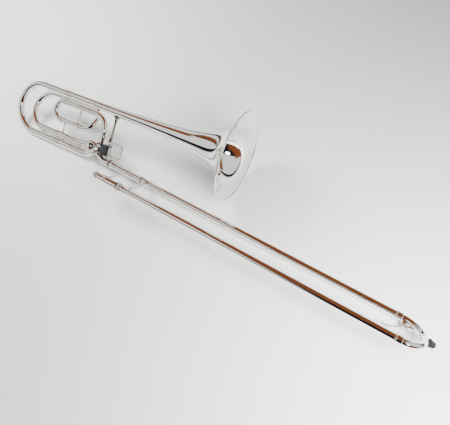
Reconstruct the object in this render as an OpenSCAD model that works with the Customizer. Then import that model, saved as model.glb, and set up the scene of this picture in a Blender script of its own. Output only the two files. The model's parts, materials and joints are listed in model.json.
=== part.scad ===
// Tenor trombone with an F attachment: closed wrap, rotary valve, thumb trigger and hand slide.
// Instrument axes: X runs along the hand slide towards the player's front and starts at the
// bell lock nut; the slide's bell-side tube lies on X; Z leads from it to the bell axis and
// -Y to the mouthpiece-side tube. lying() then lays the whole instrument on a level table.

/* [Bell] */
// Diameter of the bell at its rim
bell_d = 216; // [205:1:242]
// Distance of the rim plane in front of the lock nut
bell_x = 325; // [310:1:340]
// Distance from the neck pipe to the bell axis
bell_spread = 133; // [130:1:140]
// Angle by which the bell section leans away from the hand slide
bell_rise = 4; // [0:0.5:5]
// Sheet thickness of the bell
bell_wall = 0.7; // [0.6:0.1:1.2]
// Flare exponent of the bell curve
flare_power = 0.85; // [0.75:0.01:0.95]
// Flare offset of the bell curve
flare_offset = 27; // [22:1:32]

/* [Hand slide] */
// Distance between the two slide tubes
slide_spread = 89; // [86:1:92]
// Angle from the bell plane to the slide plane
slide_angle = 101; // [85:1:110]
// Outside diameter of the outer slide tubes
outer_tube_d = 15.8; // [15.6:0.1:16.2]
// Outside diameter of the inner slide tubes
inner_tube_d = 14.7; // [14.5:0.1:14.8]
// Front end of the straight outer tubes
slide_front_x = 772; // [740:1:800]
// Mouth of the mouthpiece receiver
mouth_x = 27; // [20:1:34]

/* [Tuning slide] */
// Outside diameter of the tuning slide bow and legs
tuning_d = 17.6; // [16.6:0.2:18]
// Place of the tuning bow's centre behind the lock nut
tuning_bow_x = -281; // [-285:1:-268]
// Rear end of the outer tubes that hold the tuning slide
sleeve_rear_x = -186; // [-200:1:-176]

/* [F attachment] */
// Outside diameter of the F tubing
wrap_d = 15.6; // [15:0.2:16]
// Place of the F tuning bow's centre behind the lock nut
f_bow_x = -254; // [-262:1:-246]
// Height of the F lower leg above the neck pipe
f_low_z = 22; // [21:1:24]
// Height of the F upper leg above the neck pipe
f_high_z = 120; // [116:1:122]
// Sideways offset of the F upper leg
f_high_y = 24; // [22:1:28]
// Height of the inner loop's lower leg
loop_low_z = 61.5; // [58:0.5:66]
// Height of the inner loop's upper leg
loop_high_z = 110; // [106:1:112]
// Place of the inner loop's rear bow centre
loop_rear_x = -197; // [-205:1:-190]

/* [Rotary valve] */
// Place of the valve axis behind the lock nut
valve_x = -60; // [-62:1:-58]
// Height of the valve axis above the neck pipe
valve_z = 24; // [23:1:25]
// Outside diameter of the valve casing
casing_d = 40; // [40:0.5:42]
// Diameter of the rotor
rotor_d = 34; // [33:0.5:34.5]

/* [Rest attitude] */
// Roll about the slide that brings the bell rim down to the table
lie_roll = -52.465; // [-60:0.005:-45]
// Pitch that brings the tuning bow and the slide bow down to the table
lie_pitch = 0.616; // [-2:0.001:3]
// Shift of the lock nut from the middle of the lying instrument
lie_shift = [-238.87, -76.42, 17.78]; // [-300:0.01:300]

/* [Hidden] */
$fn = 64;
gap = 0.05;
wall = 0.65;
silver = "gainsboro";
bright = "whitesmoke";
wrap_r = wrap_d / 2;
tuning_r = tuning_d / 2;
sleeve_r = tuning_r + gap + 0.75;
f_sleeve_r = wrap_r + gap + 0.7;
casing_r = casing_d / 2;
rotor_r = rotor_d / 2;
outer_r = outer_tube_d / 2;
inner_r = inner_tube_d / 2;
outer_bore_r = inner_r + 0.15;
bell_tail_x = -96;
f_tilt = atan(f_high_y / (f_high_z - f_low_z));
f_bow_r = sqrt(pow(f_high_z - f_low_z, 2) + pow(f_high_y, 2)) / 2;
front_tilt = atan(f_high_y / (f_high_z - loop_low_z));
front_bow_r = sqrt(pow(f_high_z - loop_low_z, 2) + pow(f_high_y, 2)) / 2;
front_bow_x = -122;
valve_bend_r = 37;
valve_leg_x = -47;
f_sleeve_rear_x = -196;
f_sleeve_front_x = -127;
// Y and Z of each F leg and the rear end of its sleeve
f_legs = [[0, f_low_z, f_sleeve_rear_x], [f_high_y, f_high_z, f_sleeve_rear_x - 16]];
lever_x = -12;
lever_y = -8;
link_y = 19.3;
link_z = valve_z + 4.95;
brace_x = -22;

// ---------- placing ----------
module lying() {
    translate(lie_shift) rotate([lie_roll, lie_pitch, 0]) children();
}

module bell_side() {
    rotate([0, -bell_rise, 0]) children();
}

// Local Y leads to the mouthpiece-side tube, local Z away from the bell.
module slide_side() {
    rotate([90 + slide_angle, 0, 0]) children();
}

module both_tubes() {
    children();
    translate([0, slide_spread, 0]) children();
}

// ---------- tube shapes ----------
module along_x(x) {
    translate([x, 0, 0]) rotate([0, 90, 0]) children();
}

module pipe_x(x0, x1, r, r_in) {
    along_x(x0) difference() {
        cylinder(h = x1 - x0, r = r);
        translate([0, 0, -1]) cylinder(h = x1 - x0 + 2, r = r_in);
    }
}

module ring_x(x0, x1, r, r_in, round = 0.5) {
    along_x(x0) rotate_extrude() polygon([[r_in, 0], [r - round, 0], [r, round],
        [r, x1 - x0 - round], [r - round, x1 - x0], [r_in, x1 - x0]]);
}

// Arc of tube in the XZ plane about the origin, from angle a0 to a0 + turn, measured from +X to +Z.
module bow_xz(radius, r, r_in, a0, turn) {
    rotate([90, 0, 0]) rotate([0, 0, a0]) rotate_extrude(angle = turn, $fn = 96)
        translate([radius, 0]) difference() {
            circle(r = r, $fn = 48);
            circle(r = r_in, $fn = 48);
        }
}

module turned_ring(x, z, r, r_in, half = 3.5) {
    translate([0, 0, z]) ring_x(x - half, x + half, r, r_in);
}

module coil(radius, wire, pitch, turns) {
    sides = 8;
    steps = 20 * turns;
    points = [for (i = [0:steps], j = [0:sides - 1])
        let (a = 18 * i, b = j * 360 / sides, r = radius + wire * cos(b))
        [r * cos(a), r * sin(a), pitch * a / 360 + wire * sin(b)]];
    skin = [for (i = [0:steps - 1], j = [0:sides - 1])
        let (k = (j + 1) % sides)
        [i * sides + j, (i + 1) * sides + j, (i + 1) * sides + k, i * sides + k]];
    start = [for (j = [0:sides - 1]) j];
    end = [for (j = [sides - 1:-1:0]) steps * sides + j];
    polyhedron(points, concat(skin, [start, end]), convexity = 8);
}

// ---------- bell ----------
function bell_r(x) = bell_d / 2 * pow(1 + (bell_x - x) / flare_offset, -flare_power);
bell_steps = 30;
rim_wire_r = 1.7;
rim_inset = 0.6;
function bell_at(i) = bell_x - (bell_x - bell_tail_x) * pow(i / bell_steps, 2.6);

module bell() {
    outside = [for (i = [0:bell_steps]) [bell_r(bell_at(i)), bell_at(i)]];
    inside = [for (i = [bell_steps:-1:0]) [bell_r(bell_at(i)) - bell_wall, bell_at(i)]];
    color(bright) translate([0, 0, bell_spread]) rotate([0, 90, 0]) rotate_extrude($fn = 128)
        difference() {
            polygon(concat(outside, inside));
            translate([bell_d / 2 - rim_inset, bell_x]) circle(r = rim_wire_r, $fn = 24);
        }
}

module bell_rim_wire() {
    color(bright) translate([0, 0, bell_spread]) along_x(bell_x)
        rotate_extrude($fn = 128) translate([bell_d / 2 - rim_inset, 0])
            circle(r = rim_wire_r, $fn = 24);
}

// ---------- fixed tubes of the bell section ----------
module upper_slide_sleeve() {
    tail_r = bell_r(bell_tail_x);
    color(silver) translate([0, 0, bell_spread]) {
        pipe_x(sleeve_rear_x, bell_tail_x - 6, sleeve_r, tuning_r + gap);
        along_x(bell_tail_x - 6) rotate_extrude() polygon([[sleeve_r - 0.75, 0], [sleeve_r, 0],
            [tail_r + 0.8, 5], [tail_r + 0.8, 14], [bell_r(bell_tail_x + 8) + 0.03, 14],
            [tail_r + 0.02, 6], [sleeve_r - 0.75, 6]]);
    }
}

module lower_slide_sleeve() {
    color(silver) pipe_x(sleeve_rear_x, -95, sleeve_r, tuning_r + gap);
}

module sleeve_ferrules() {
    color(bright) for (z = [0, bell_spread])
        turned_ring(sleeve_rear_x + 4, z, sleeve_r + 1.1, sleeve_r, 4.5);
}

elbow_rise = 30;
elbow_r = 40;
elbow_x = -95;
module rear_neck_elbow() {
    color(silver) difference() {
        union() {
            translate([elbow_x, 0, elbow_r])
                bow_xz(elbow_r, tuning_r - 0.4, tuning_r - 1.2, -90, elbow_rise);
            translate([elbow_x + elbow_r * sin(elbow_rise), 0, elbow_r * (1 - cos(elbow_rise))])
                rotate([0, -elbow_rise, 0]) pipe_x(-0.5, 8, tuning_r - 0.45, tuning_r - 1.15);
            pipe_x(elbow_x - 8, elbow_x, tuning_r - 0.4, tuning_r - 1.2);
        }
        valve_clearance();
    }
}

neck_rise = 40;
neck_bend_r = 25;
neck_bend_x = -22;
module neck_pipe() {
    color(silver) difference() {
        union() {
            pipe_x(neck_bend_x - 0.5, -1, 8.05, 7.25);
            translate([neck_bend_x, 0, neck_bend_r])
                bow_xz(neck_bend_r, 8.1, 7.2, -90 - neck_rise, neck_rise);
            translate([neck_bend_x - neck_bend_r * sin(neck_rise), 0,
                    neck_bend_r * (1 - cos(neck_rise))])
                rotate([0, neck_rise, 0]) pipe_x(-14, 0.5, 8.05, 7.25);
        }
        valve_clearance();
    }
}

module neck_tenon() {
    color(silver) difference() {
        union() {
            ring_x(-9, -3.2, 8.9, 6.5, 0.4);
            ring_x(-3.4, -0.6, 9.2, 6.5, 0.3);
            along_x(-0.8) cylinder(h = 44.8, r1 = 7.7, r2 = 6.96);
        }
        along_x(-1) cylinder(h = 60, r = 6.2);
        bell_side() along_x(-14) cylinder(h = 13, r = 8.12);
    }
}

// ---------- valve ----------
module valve_clearance() {
    translate([valve_x, 30, valve_z]) rotate([90, 0, 0]) cylinder(h = 60, r = casing_r - 0.02);
}

module valve_ports() {
    along_port = 40;
    translate([valve_leg_x, 0, valve_z]) cylinder(h = along_port, r = 7.1);
    translate([f_sleeve_front_x, 0, f_low_z]) rotate([0, 80, 0]) cylinder(h = 62, r = 7.1);
    translate([elbow_x + elbow_r * sin(elbow_rise), 0, elbow_r * (1 - cos(elbow_rise))])
        rotate([0, 90 - elbow_rise, 0]) cylinder(h = 14, r = 7.1);
    translate([neck_bend_x - neck_bend_r * sin(neck_rise), 0, neck_bend_r * (1 - cos(neck_rise))])
        rotate([0, neck_rise - 90, 0]) cylinder(h = 20, r = 7.1);
}

module across_y(y0, y1, r) {
    translate([valve_x, y1, valve_z]) rotate([90, 0, 0]) cylinder(h = y1 - y0, r = r);
}

module valve_casing() {
    color(silver) difference() {
        across_y(-19, 13.5, casing_r);
        across_y(-20, 10.2, rotor_r + gap);
        across_y(-20, 14, 4 + gap);
        valve_ports();
    }
}

module valve_back_plate() {
    color(bright) difference() {
        across_y(13.5, 15, casing_r - 1);
        across_y(13, 16, 4.5);
    }
}

module bearing_plate() {
    color(silver) difference() {
        across_y(-16, -12.2, rotor_r);
        across_y(-17, -12, 4 + gap);
    }
}

module valve_cap() {
    color(bright) translate([valve_x, -16.2, valve_z]) rotate([90, 0, 0]) difference() {
        rotate_extrude($fn = 96) polygon([[0, 2.6], [0, 5.4], [4.4, 5.4], [5, 6.4], [13.5, 8.6],
            [15.6, 8.4], [17.8, 6.6], [18, 5.9], [18, 3], [16.9, 2.8], [16.9, 0], [15.8, 0],
            [15.8, 2.6]]);
        translate([0, 0, 4.8]) cylinder(h = 3, r = 3.6);
    }
}

bumper_ring_r = 12;
module stop_bumpers() {
    color("dimgray") for (a = [200, 340])
        translate([valve_x + bumper_ring_r * cos(a), 18.2, valve_z + bumper_ring_r * sin(a)])
            rotate([90, 0, 0]) cylinder(h = 3.2, r = 2.5);
}

module rotor() {
    color("darkkhaki") difference() {
        union() {
            across_y(-12, 10, rotor_r);
            across_y(-15.8, -11.9, 4);
            across_y(9.9, 17.6, 4);
        }
        for (a = [105, 285])
            translate([valve_x + rotor_r * sqrt(2) * cos(a), 0, valve_z + rotor_r * sqrt(2) * sin(a)])
                rotate([90, 0, 0]) rotate_extrude($fn = 64) translate([rotor_r, 0])
                    circle(r = 6.4, $fn = 32);
    }
}

link_pin_r = 7;
module stop_arm() {
    color(silver) translate([valve_x, 0, valve_z]) {
        difference() {
            union() {
                translate([0, 18, 0]) rotate([90, 0, 0]) cylinder(h = 2.2, r = 6.2);
                rotate([0, -45, 0]) translate([0, 15.8, -2.2]) cube([10, 2.2, 4.4]);
                rotate([0, 135, 0]) translate([0, 15.8, -2]) cube([15, 2.2, 4]);
            }
            translate([0, 20, 0]) rotate([90, 0, 0]) cylinder(h = 6, r = 4);
        }
        rotate([0, -45, 0]) translate([link_pin_r, 21.4, 0]) rotate([90, 0, 0])
            cylinder(h = 4, r = 1.2);
    }
}

module stop_arm_screw() {
    color("goldenrod") difference() {
        union() {
            across_y(17.6, 19, 3.4);
            across_y(19, 19.6, 2.8);
        }
        translate([valve_x - 4, 18.8, valve_z - 0.4]) cube([8, 2, 0.8]);
    }
}

link_length = 48;
module linkage_rod() {
    x0 = valve_x + link_pin_r * cos(45);
    color(bright) translate([x0, link_y + 1.2, link_z]) {
        difference() {
            union() {
                rotate([90, 0, 0]) cylinder(h = 2, r = 2.6);
                translate([0, -1, 0]) along_x(1.5) cylinder(h = link_length - 4.5, r = 1.1);
                translate([link_length, -1, -1.5]) cylinder(h = 3, r = 4);
            }
            translate([0, 1, 0]) rotate([90, 0, 0]) cylinder(h = 4, r = 1.2 + gap);
            translate([link_length, -1, -2]) cylinder(h = 4, r = 2.4);
        }
    }
}

// ---------- thumb trigger ----------
paddle = [37, 2, 38];
module thumb_lever() {
    arm_length = link_y + 0.2 - lever_y;
    swing = asin(link_pin_r * cos(45) / arm_length);
    color(bright) {
        translate([lever_x, lever_y, 0]) difference() {
            union() {
                translate([0, 0, 21]) cylinder(h = 26, r = 3.3);
                rotate([0, 0, 90 - swing]) {
                    translate([0, -1.6, link_z - 8]) cube([arm_length, 3.2, 4]);
                    translate([arm_length, 0, link_z - 8]) cylinder(h = 4, r = 3);
                    translate([arm_length, 0, link_z - 5]) cylinder(h = 10, r = 1.3);
                }
                translate([2, -4, 28]) cube([8, 3, 9.5]);
            }
            translate([0, 0, 20]) cylinder(h = 28, r = 1.5 + gap);
        }
        translate([lever_x + 6, lever_y - 3.6, 39]) rotate([90, 0, 0]) paddle_plate();
    }
}

module paddle_plate() {
    corner = 8;
    linear_extrude(paddle[1]) translate([paddle[0] / 2, 0]) offset(r = corner, $fn = 48)
        square([paddle[0] - 2 * corner, paddle[2] - 2 * corner], center = true);
}

module lever_spring() {
    color("silver") translate([lever_x, lever_y, 39.6]) coil(4.05, 0.5, 1.3, 5);
}

module lever_bracket() {
    color(silver) difference() {
        union() {
            translate([brace_x, 0, 8.6]) cylinder(h = 45.4, r = 4);
            along_x(brace_x) cylinder(h = 11, r = 9.3);
            for (z = [16.5, 47.4])
                translate([brace_x, 0, z]) linear_extrude(3.2) bracket_lug();
        }
        along_x(brace_x - 1) cylinder(h = 14, r = 8.05);
        translate([lever_x, lever_y, 10]) cylinder(h = 50, r = 1.5);
    }
}

module bracket_lug() {
    reach = [lever_x - brace_x, lever_y];
    rotate([0, 0, atan2(reach[1], reach[0])]) {
        translate([0, -3]) square([norm(reach), 6]);
        translate([norm(reach), 0]) circle(r = 3.6);
    }
    circle(r = 5.5);
}

module hinge_pin() {
    color("goldenrod") translate([lever_x, lever_y, 15.6]) {
        cylinder(h = 36, r = 1.5 - 0.01);
        cylinder(h = 0.9, r = 2.6);
    }
}

module hand_guard() {
    color("black") difference() {
        hull() for (side = [-1, 1], end = [-1, 1])
            translate([brace_x - 4.5 + side * 6.5, -7.6 + end * 7.6, 15.8])
                cylinder(h = 27.5, r = 3, $fn = 32);
        translate([brace_x, 0, 9]) cylinder(h = 40, r = 4);
        translate([brace_x, 0, 16.4]) linear_extrude(3.4) bracket_lug();
    }
}

module bell_brace() {
    stem_r = bell_r(brace_x);
    color(silver) difference() {
        union() {
            translate([brace_x, 0, 54]) cylinder(h = bell_spread - 54, r = 3);
            translate([brace_x, 0, 54]) rotate_extrude() polygon([[0, 0], [6.5, 0], [6.5, 1.6],
                [3.6, 6], [4.6, 8], [3, 10], [0, 10]]);
            translate([brace_x, 0, bell_spread - stem_r]) mirror([0, 0, 1]) translate([0, 0, -6])
                rotate_extrude() polygon([[0, 0], [8, 0], [8, 5.4], [3.6, 9], [4.6, 11], [3, 13],
                    [0, 13]]);
        }
        translate([0, 0, bell_spread]) along_x(brace_x - 20)
            cylinder(h = 40, r1 = bell_r(brace_x - 20) - 0.02, r2 = bell_r(brace_x + 20) - 0.02);
    }
}

// ---------- F tubing ----------
module f_lower_sleeve() {
    color(silver) difference() {
        union() {
            translate([0, 0, f_low_z])
                pipe_x(f_sleeve_rear_x, f_sleeve_front_x, f_sleeve_r, wrap_r + gap);
            translate([f_sleeve_front_x, 0, f_low_z]) rotate([0, -10, 0])
                pipe_x(0.8, 56, wrap_r, wrap_r - wall);
            translate([f_sleeve_front_x, 0, f_low_z]) ring_x(-3, 4, f_sleeve_r + 0.6, wrap_r - wall);
        }
        valve_clearance();
    }
}

module f_upper_sleeve() {
    color(silver) translate([0, f_high_y, f_high_z])
        pipe_x(f_legs[1][2], front_bow_x - 7, f_sleeve_r, wrap_r + gap);
}

module f_sleeve_ferrules() {
    color(bright) for (p = f_legs) translate([0, p[0], 0])
        turned_ring(p[2] + 4, p[1], f_sleeve_r + 1, f_sleeve_r, 4.5);
}

module wrap_front_bow() {
    color(silver) {
        translate([front_bow_x, f_high_y / 2, (loop_low_z + f_high_z) / 2]) rotate([-front_tilt, 0, 0])
            bow_xz(front_bow_r, wrap_r, wrap_r - wall, -90, 180);
        for (p = [[f_high_y, f_high_z], [0, loop_low_z]]) translate([0, p[0], p[1]])
            pipe_x(front_bow_x - 7, front_bow_x + 0.5, wrap_r - 0.05, wrap_r - wall + 0.05);
    }
}

module loop_lower_leg() {
    color(silver) translate([0, 0, loop_low_z])
        pipe_x(loop_rear_x + 7, front_bow_x - 7, wrap_r, wrap_r - wall);
}

module loop_rear_bow() {
    radius = (loop_high_z - loop_low_z) / 2;
    color(silver) {
        translate([loop_rear_x, 0, loop_low_z + radius])
            bow_xz(radius, wrap_r, wrap_r - wall, 90, 180);
        for (z = [loop_low_z, loop_high_z]) translate([0, 0, z])
            pipe_x(loop_rear_x, loop_rear_x + 7, wrap_r, wrap_r - wall);
    }
}

module loop_upper_leg() {
    color(silver) translate([0, 0, loop_high_z])
        pipe_x(loop_rear_x + 7, valve_leg_x - valve_bend_r - 7, wrap_r, wrap_r - wall);
}

module valve_bend() {
    corner = [valve_leg_x - valve_bend_r, 0, loop_high_z - valve_bend_r];
    color(silver) difference() {
        union() {
            translate(corner) bow_xz(valve_bend_r, wrap_r, wrap_r - wall, 0, 90);
            translate([0, 0, loop_high_z]) pipe_x(corner[0] - 7, corner[0], wrap_r, wrap_r - wall);
            translate([valve_leg_x, 0, valve_z]) difference() {
                cylinder(h = corner[2] - valve_z, r = wrap_r);
                translate([0, 0, -1]) cylinder(h = corner[2] - valve_z + 2, r = wrap_r - wall);
            }
        }
        valve_clearance();
    }
}

module wrap_ferrules() {
    r = wrap_r + 0.75;
    color(bright) {
        turned_ring(front_bow_x - 7, loop_low_z, r, wrap_r);
        turned_ring(loop_rear_x + 7, loop_low_z, r, wrap_r);
        turned_ring(loop_rear_x + 7, loop_high_z, r, wrap_r);
        turned_ring(valve_leg_x - valve_bend_r - 7, loop_high_z, r, wrap_r);
        translate([0, f_high_y, f_high_z]) difference() {
            ring_x(front_bow_x - 10.5, front_bow_x - 3.5, f_sleeve_r + 0.7, wrap_r);
            along_x(front_bow_x - 20) cylinder(h = 13, r = f_sleeve_r);
        }
        translate([valve_leg_x, 0, 62]) rotate([0, -90, 0]) ring_x(-3.5, 3.5, r, wrap_r);
    }
}

// ---------- braces of the wrap ----------
module turned_brace(length, r) {
    rotate_extrude() polygon([[0, 0], [r * 2.4, 0], [r * 2.4, 1], [r * 1.3, 3], [r * 1.7, 4.4],
        [r, 6.4], [r, length - 6.4], [r * 1.7, length - 4.4], [r * 1.3, length - 3],
        [r * 2.4, length - 1], [r * 2.4, length], [0, length]]);
}

loop_brace_x = -137;
module loop_brace() {
    z0 = loop_low_z + wrap_r - 1.4;
    z1 = loop_high_z - wrap_r + 1.4;
    color(silver) difference() {
        translate([loop_brace_x, 0, z0]) turned_brace(z1 - z0, 1.8);
        for (z = [loop_low_z, loop_high_z]) translate([0, 0, z]) along_x(loop_brace_x - 10)
            cylinder(h = 20, r = wrap_r);
    }
}

wrap_brace_x = -180;
module wrap_brace() {
    z0 = f_low_z + f_sleeve_r - 1.4;
    z1 = loop_low_z - wrap_r + 1.4;
    color(silver) difference() {
        translate([wrap_brace_x, 0, z0]) turned_brace(z1 - z0, 1.8);
        translate([0, 0, f_low_z]) along_x(wrap_brace_x - 10) cylinder(h = 20, r = f_sleeve_r);
        translate([0, 0, loop_low_z]) along_x(wrap_brace_x - 10) cylinder(h = 20, r = wrap_r);
    }
}

module leg_brace() {
    color(silver) for (x = [-172, -112]) difference() {
        translate([x, 0, sleeve_r - 1.6]) cylinder(h = f_low_z - f_sleeve_r - sleeve_r + 4.2, r = 4);
        translate([0, 0, f_low_z]) along_x(x - 10) cylinder(h = 20, r = f_sleeve_r);
        along_x(x - 10) cylinder(h = 20, r = sleeve_r);
    }
}

// ---------- tuning slides ----------
module tuning_bow() {
    color(silver) {
        translate([tuning_bow_x, 0, bell_spread / 2])
            bow_xz(bell_spread / 2, tuning_r, tuning_r - wall, 90, 180);
        for (z = [0, bell_spread]) translate([0, 0, z])
            pipe_x(tuning_bow_x, sleeve_rear_x - 6, tuning_r, tuning_r - wall);
    }
}

module tuning_legs() {
    color(bright) for (z = [0, bell_spread]) translate([0, 0, z]) {
        pipe_x(sleeve_rear_x - 6, -106, tuning_r, tuning_r - wall);
        ring_x(sleeve_rear_x - 10, sleeve_rear_x - 1, tuning_r + 1, tuning_r);
    }
}

module f_tuning_bow() {
    color(silver) {
        translate([f_bow_x, f_high_y / 2, (f_low_z + f_high_z) / 2])
            rotate([-f_tilt, 0, 0]) bow_xz(f_bow_r, wrap_r, wrap_r - wall, 90, 180);
        for (p = f_legs) translate([0, p[0], p[1]])
            pipe_x(f_bow_x - 0.5, p[2] - 6, wrap_r - 0.05, wrap_r - wall + 0.05);
    }
}

module f_tuning_legs() {
    color(bright) for (p = f_legs) translate([0, p[0], p[1]]) {
        pipe_x(p[2] - 6, f_sleeve_front_x - 4, wrap_r, wrap_r - wall);
        ring_x(p[2] - 9, p[2] - 1, wrap_r + 0.9, wrap_r);
    }
}

// ---------- bell joint ----------
module lock_nut() {
    grip_count = 18;
    color(bright) difference() {
        ring_x(-5.2, 4.6, 11.4, 9.1, 0.8);
        along_x(-3.6) cylinder(h = 10, r = 9.75);
        for (i = [0:grip_count - 1]) rotate([i * 360 / grip_count, 0, 0])
            translate([0, 0, 12]) along_x(-2.6) cylinder(h = 5, r = 1.1, $fn = 16);
    }
}

module slide_receiver() {
    color(silver) difference() {
        union() {
            ring_x(-0.4, 8, 9.6, 7, 0.3);
            along_x(7.8) cylinder(h = 8, r1 = 9.2, r2 = 8.3);
            along_x(15.6) cylinder(h = 37, r = 8.3);
            ring_x(47, 58, 9.9, 7);
        }
        along_x(-0.8) cylinder(h = 44.8, r1 = 7.7 + gap, r2 = 6.96 + gap);
        along_x(43) cylinder(h = 20, r = inner_r);
    }
}

// ---------- inner hand slide ----------
barrel_front_x = 104;
module cork_barrels() {
    color(silver) {
        pipe_x(58, barrel_front_x - 3, 9.3, 8.5);
        ring_x(barrel_front_x - 4, barrel_front_x + 1, 10.4, 8.5);
        ring_x(58, 62, 9.3, inner_r);
        translate([0, slide_spread, 0]) {
            pipe_x(58, barrel_front_x - 1, 9.3, 8.5);
            ring_x(54, 62, 9.9, inner_r);
        }
    }
}

module slide_corks() {
    color("tan") both_tubes() pipe_x(62, 77.6, 8.45, inner_r + 0.02);
}

module inner_tubes() {
    color(bright) both_tubes() {
        pipe_x(52, 640, inner_r, inner_r - 0.4);
        pipe_x(640, 762, inner_r + 0.1, inner_r - 0.4);
    }
}

module leadpipe() {
    color("darkkhaki") translate([0, slide_spread, 0]) along_x(52) rotate_extrude() polygon([
        [5.95, 0], [inner_r - 0.42, 0], [inner_r - 0.42, 200], [6.75, 200]]);
}

module mouthpiece_receiver() {
    color(bright) translate([0, slide_spread, 0]) difference() {
        union() {
            ring_x(mouth_x, 54, 7.9, 5, 0.5);
            ring_x(mouth_x + 4.5, mouth_x + 9, 8.9, 7, 1);
            ring_x(mouth_x, mouth_x + 2.2, 8.4, 7, 0.6);
        }
        along_x(mouth_x - 1) cylinder(h = 6, r = 6.5);
        along_x(mouth_x + 4.9) cylinder(h = 20.3, r1 = 6.5, r2 = 6);
        along_x(mouth_x + 5) cylinder(h = 40, r = 5.95);
        along_x(52) cylinder(h = 8, r = inner_r);
    }
}

module slide_brace(x, r, end_r, clear_r) {
    difference() {
        translate([x, 0, 0]) rotate([-90, 0, 0]) rotate_extrude() polygon([[0, 0],
            [end_r, 0], [end_r, clear_r + 1.5], [r * 1.35, clear_r + 5], [r, clear_r + 9],
            [r, slide_spread - clear_r - 9], [r * 1.35, slide_spread - clear_r - 5],
            [end_r, slide_spread - clear_r - 1.5], [end_r, slide_spread], [0, slide_spread]]);
        both_tubes() along_x(x - 20) cylinder(h = 40, r = clear_r);
    }
}

module inner_brace() {
    color(bright) slide_brace(56, 2.9, 5, 9.89);
}

module slide_lock_ring() {
    color(bright) translate([0, slide_spread, 0]) difference() {
        union() {
            ring_x(barrel_front_x - 6.8, barrel_front_x + 2.6, 10.8, 8.6);
            translate([barrel_front_x - 4, 10, -2]) cube([4, 5, 4]);
        }
        along_x(barrel_front_x - 8) cylinder(h = 7.4, r = 9.35);
    }
}

// ---------- outer hand slide ----------
module outer_tubes() {
    color(bright) both_tubes() pipe_x(78, slide_front_x, outer_r, outer_bore_r);
}

module slide_ferrules() {
    color(silver) {
        both_tubes() {
            ring_x(108, 132, 8.8, outer_r);
            ring_x(108, 111.5, 9.7, outer_r);
        }
        translate([0, slide_spread, 0]) rotate([32, 0, 0]) translate([121, 8.4, 0])
            rotate([-90, 0, 0]) cylinder(h = 3.4, r = 1.3);
    }
}

module outer_brace() {
    color(silver) slide_brace(122, 4.1, 6, 8.79);
}

module slide_bow() {
    color(bright) translate([slide_front_x, slide_spread / 2, 0]) rotate([90, 0, 0])
        bow_xz(slide_spread / 2, outer_r, outer_bore_r, -90, 180);
}

module bow_ferrules() {
    color(silver) both_tubes() {
        ring_x(slide_front_x - 13, slide_front_x + 1, 9, outer_r);
        ring_x(slide_front_x - 13, slide_front_x - 10.5, 9.6, outer_r);
    }
}

bow_tip_x = slide_front_x + slide_spread / 2 + outer_r;
module rubber_bumper() {
    color("black") difference() {
        translate([0, slide_spread / 2, 0]) along_x(bow_tip_x - 3) rotate_extrude() polygon([[0, 0],
            [8.6, 0], [9, 3.4], [8.8, 5], [7.2, 7.2], [6.6, 11.5], [5.2, 14], [3, 15.4], [0, 16]]);
        translate([slide_front_x, slide_spread / 2, 0])
            rotate_extrude() translate([slide_spread / 2, 0]) circle(r = outer_r, $fn = 48);
    }
}

// ---------- water key, set at an angle round the bell-side tube ----------
key_turn = 30;
key_x = 779;
key_hinge_y = 17;
key_pad_x = 793;
module key_side() {
    rotate([key_turn, 0, 0]) children();
}

module water_key_saddle() {
    color(silver) difference() {
        key_side() {
            for (z = [-5.4, 3.4]) translate([key_x - 3, 6, z]) cube([6, 13.4, 2]);
            translate([key_x - 5, 6, -6]) cube([10, 5.2, 12]);
            translate([key_pad_x, 3, 0]) rotate([-90, 0, 0]) cylinder(h = 13.6, r = 4.2);
        }
        along_x(key_x - 20) cylinder(h = 20 + slide_front_x - key_x, r = 9);
        translate([slide_front_x, slide_spread / 2, 0])
            rotate_extrude() translate([slide_spread / 2, 0]) circle(r = outer_r, $fn = 48);
        key_side() {
            translate([key_pad_x, 0, 0]) rotate([-90, 0, 0]) cylinder(h = 20, r = 2.4);
            translate([key_x, key_hinge_y, -8]) cylinder(h = 16, r = 1.1);
        }
    }
}

module water_key_screw() {
    color("goldenrod") key_side() translate([key_x, key_hinge_y, 0]) {
        translate([0, 0, -6.4]) cylinder(h = 12.2, r = 1.08);
        translate([0, 0, -6.6]) cylinder(h = 1.2, r = 2);
    }
}

module water_key_lever() {
    color(silver) key_side() {
        difference() {
            union() {
                translate([key_x, key_hinge_y, -3.2]) cylinder(h = 6.4, r = 2.6);
                translate([key_x, 17.4, -1.6]) cube([15, 2, 3.2]);
                translate([key_pad_x, 19.4, 0]) rotate([90, 0, 0]) cylinder(h = 2, r = 5.6);
                translate([key_x - 42.2, -19.7, 0]) rotate([0, 0, 42]) rotate_extrude(angle = 43)
                    translate([56, 0]) circle(r = 1.6, $fn = 32);
                translate([key_x - 38, 37, 0]) rotate([90, 0, 0]) cylinder(h = 1.8, r = 5);
            }
            translate([key_x, key_hinge_y, -8]) cylinder(h = 16, r = 1.1 + gap);
        }
    }
}

module water_key_cork() {
    color("tan") key_side() translate([key_pad_x, 17.4, 0]) rotate([90, 0, 0]) cylinder(h = 0.75, r = 4.6);
}

module water_key_spring() {
    color("goldenrod") key_side() for (z = [-2.9, 2.2])
        translate([key_x, key_hinge_y, z]) coil(3.05, 0.3, 0.7, 1.2);
}

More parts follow.
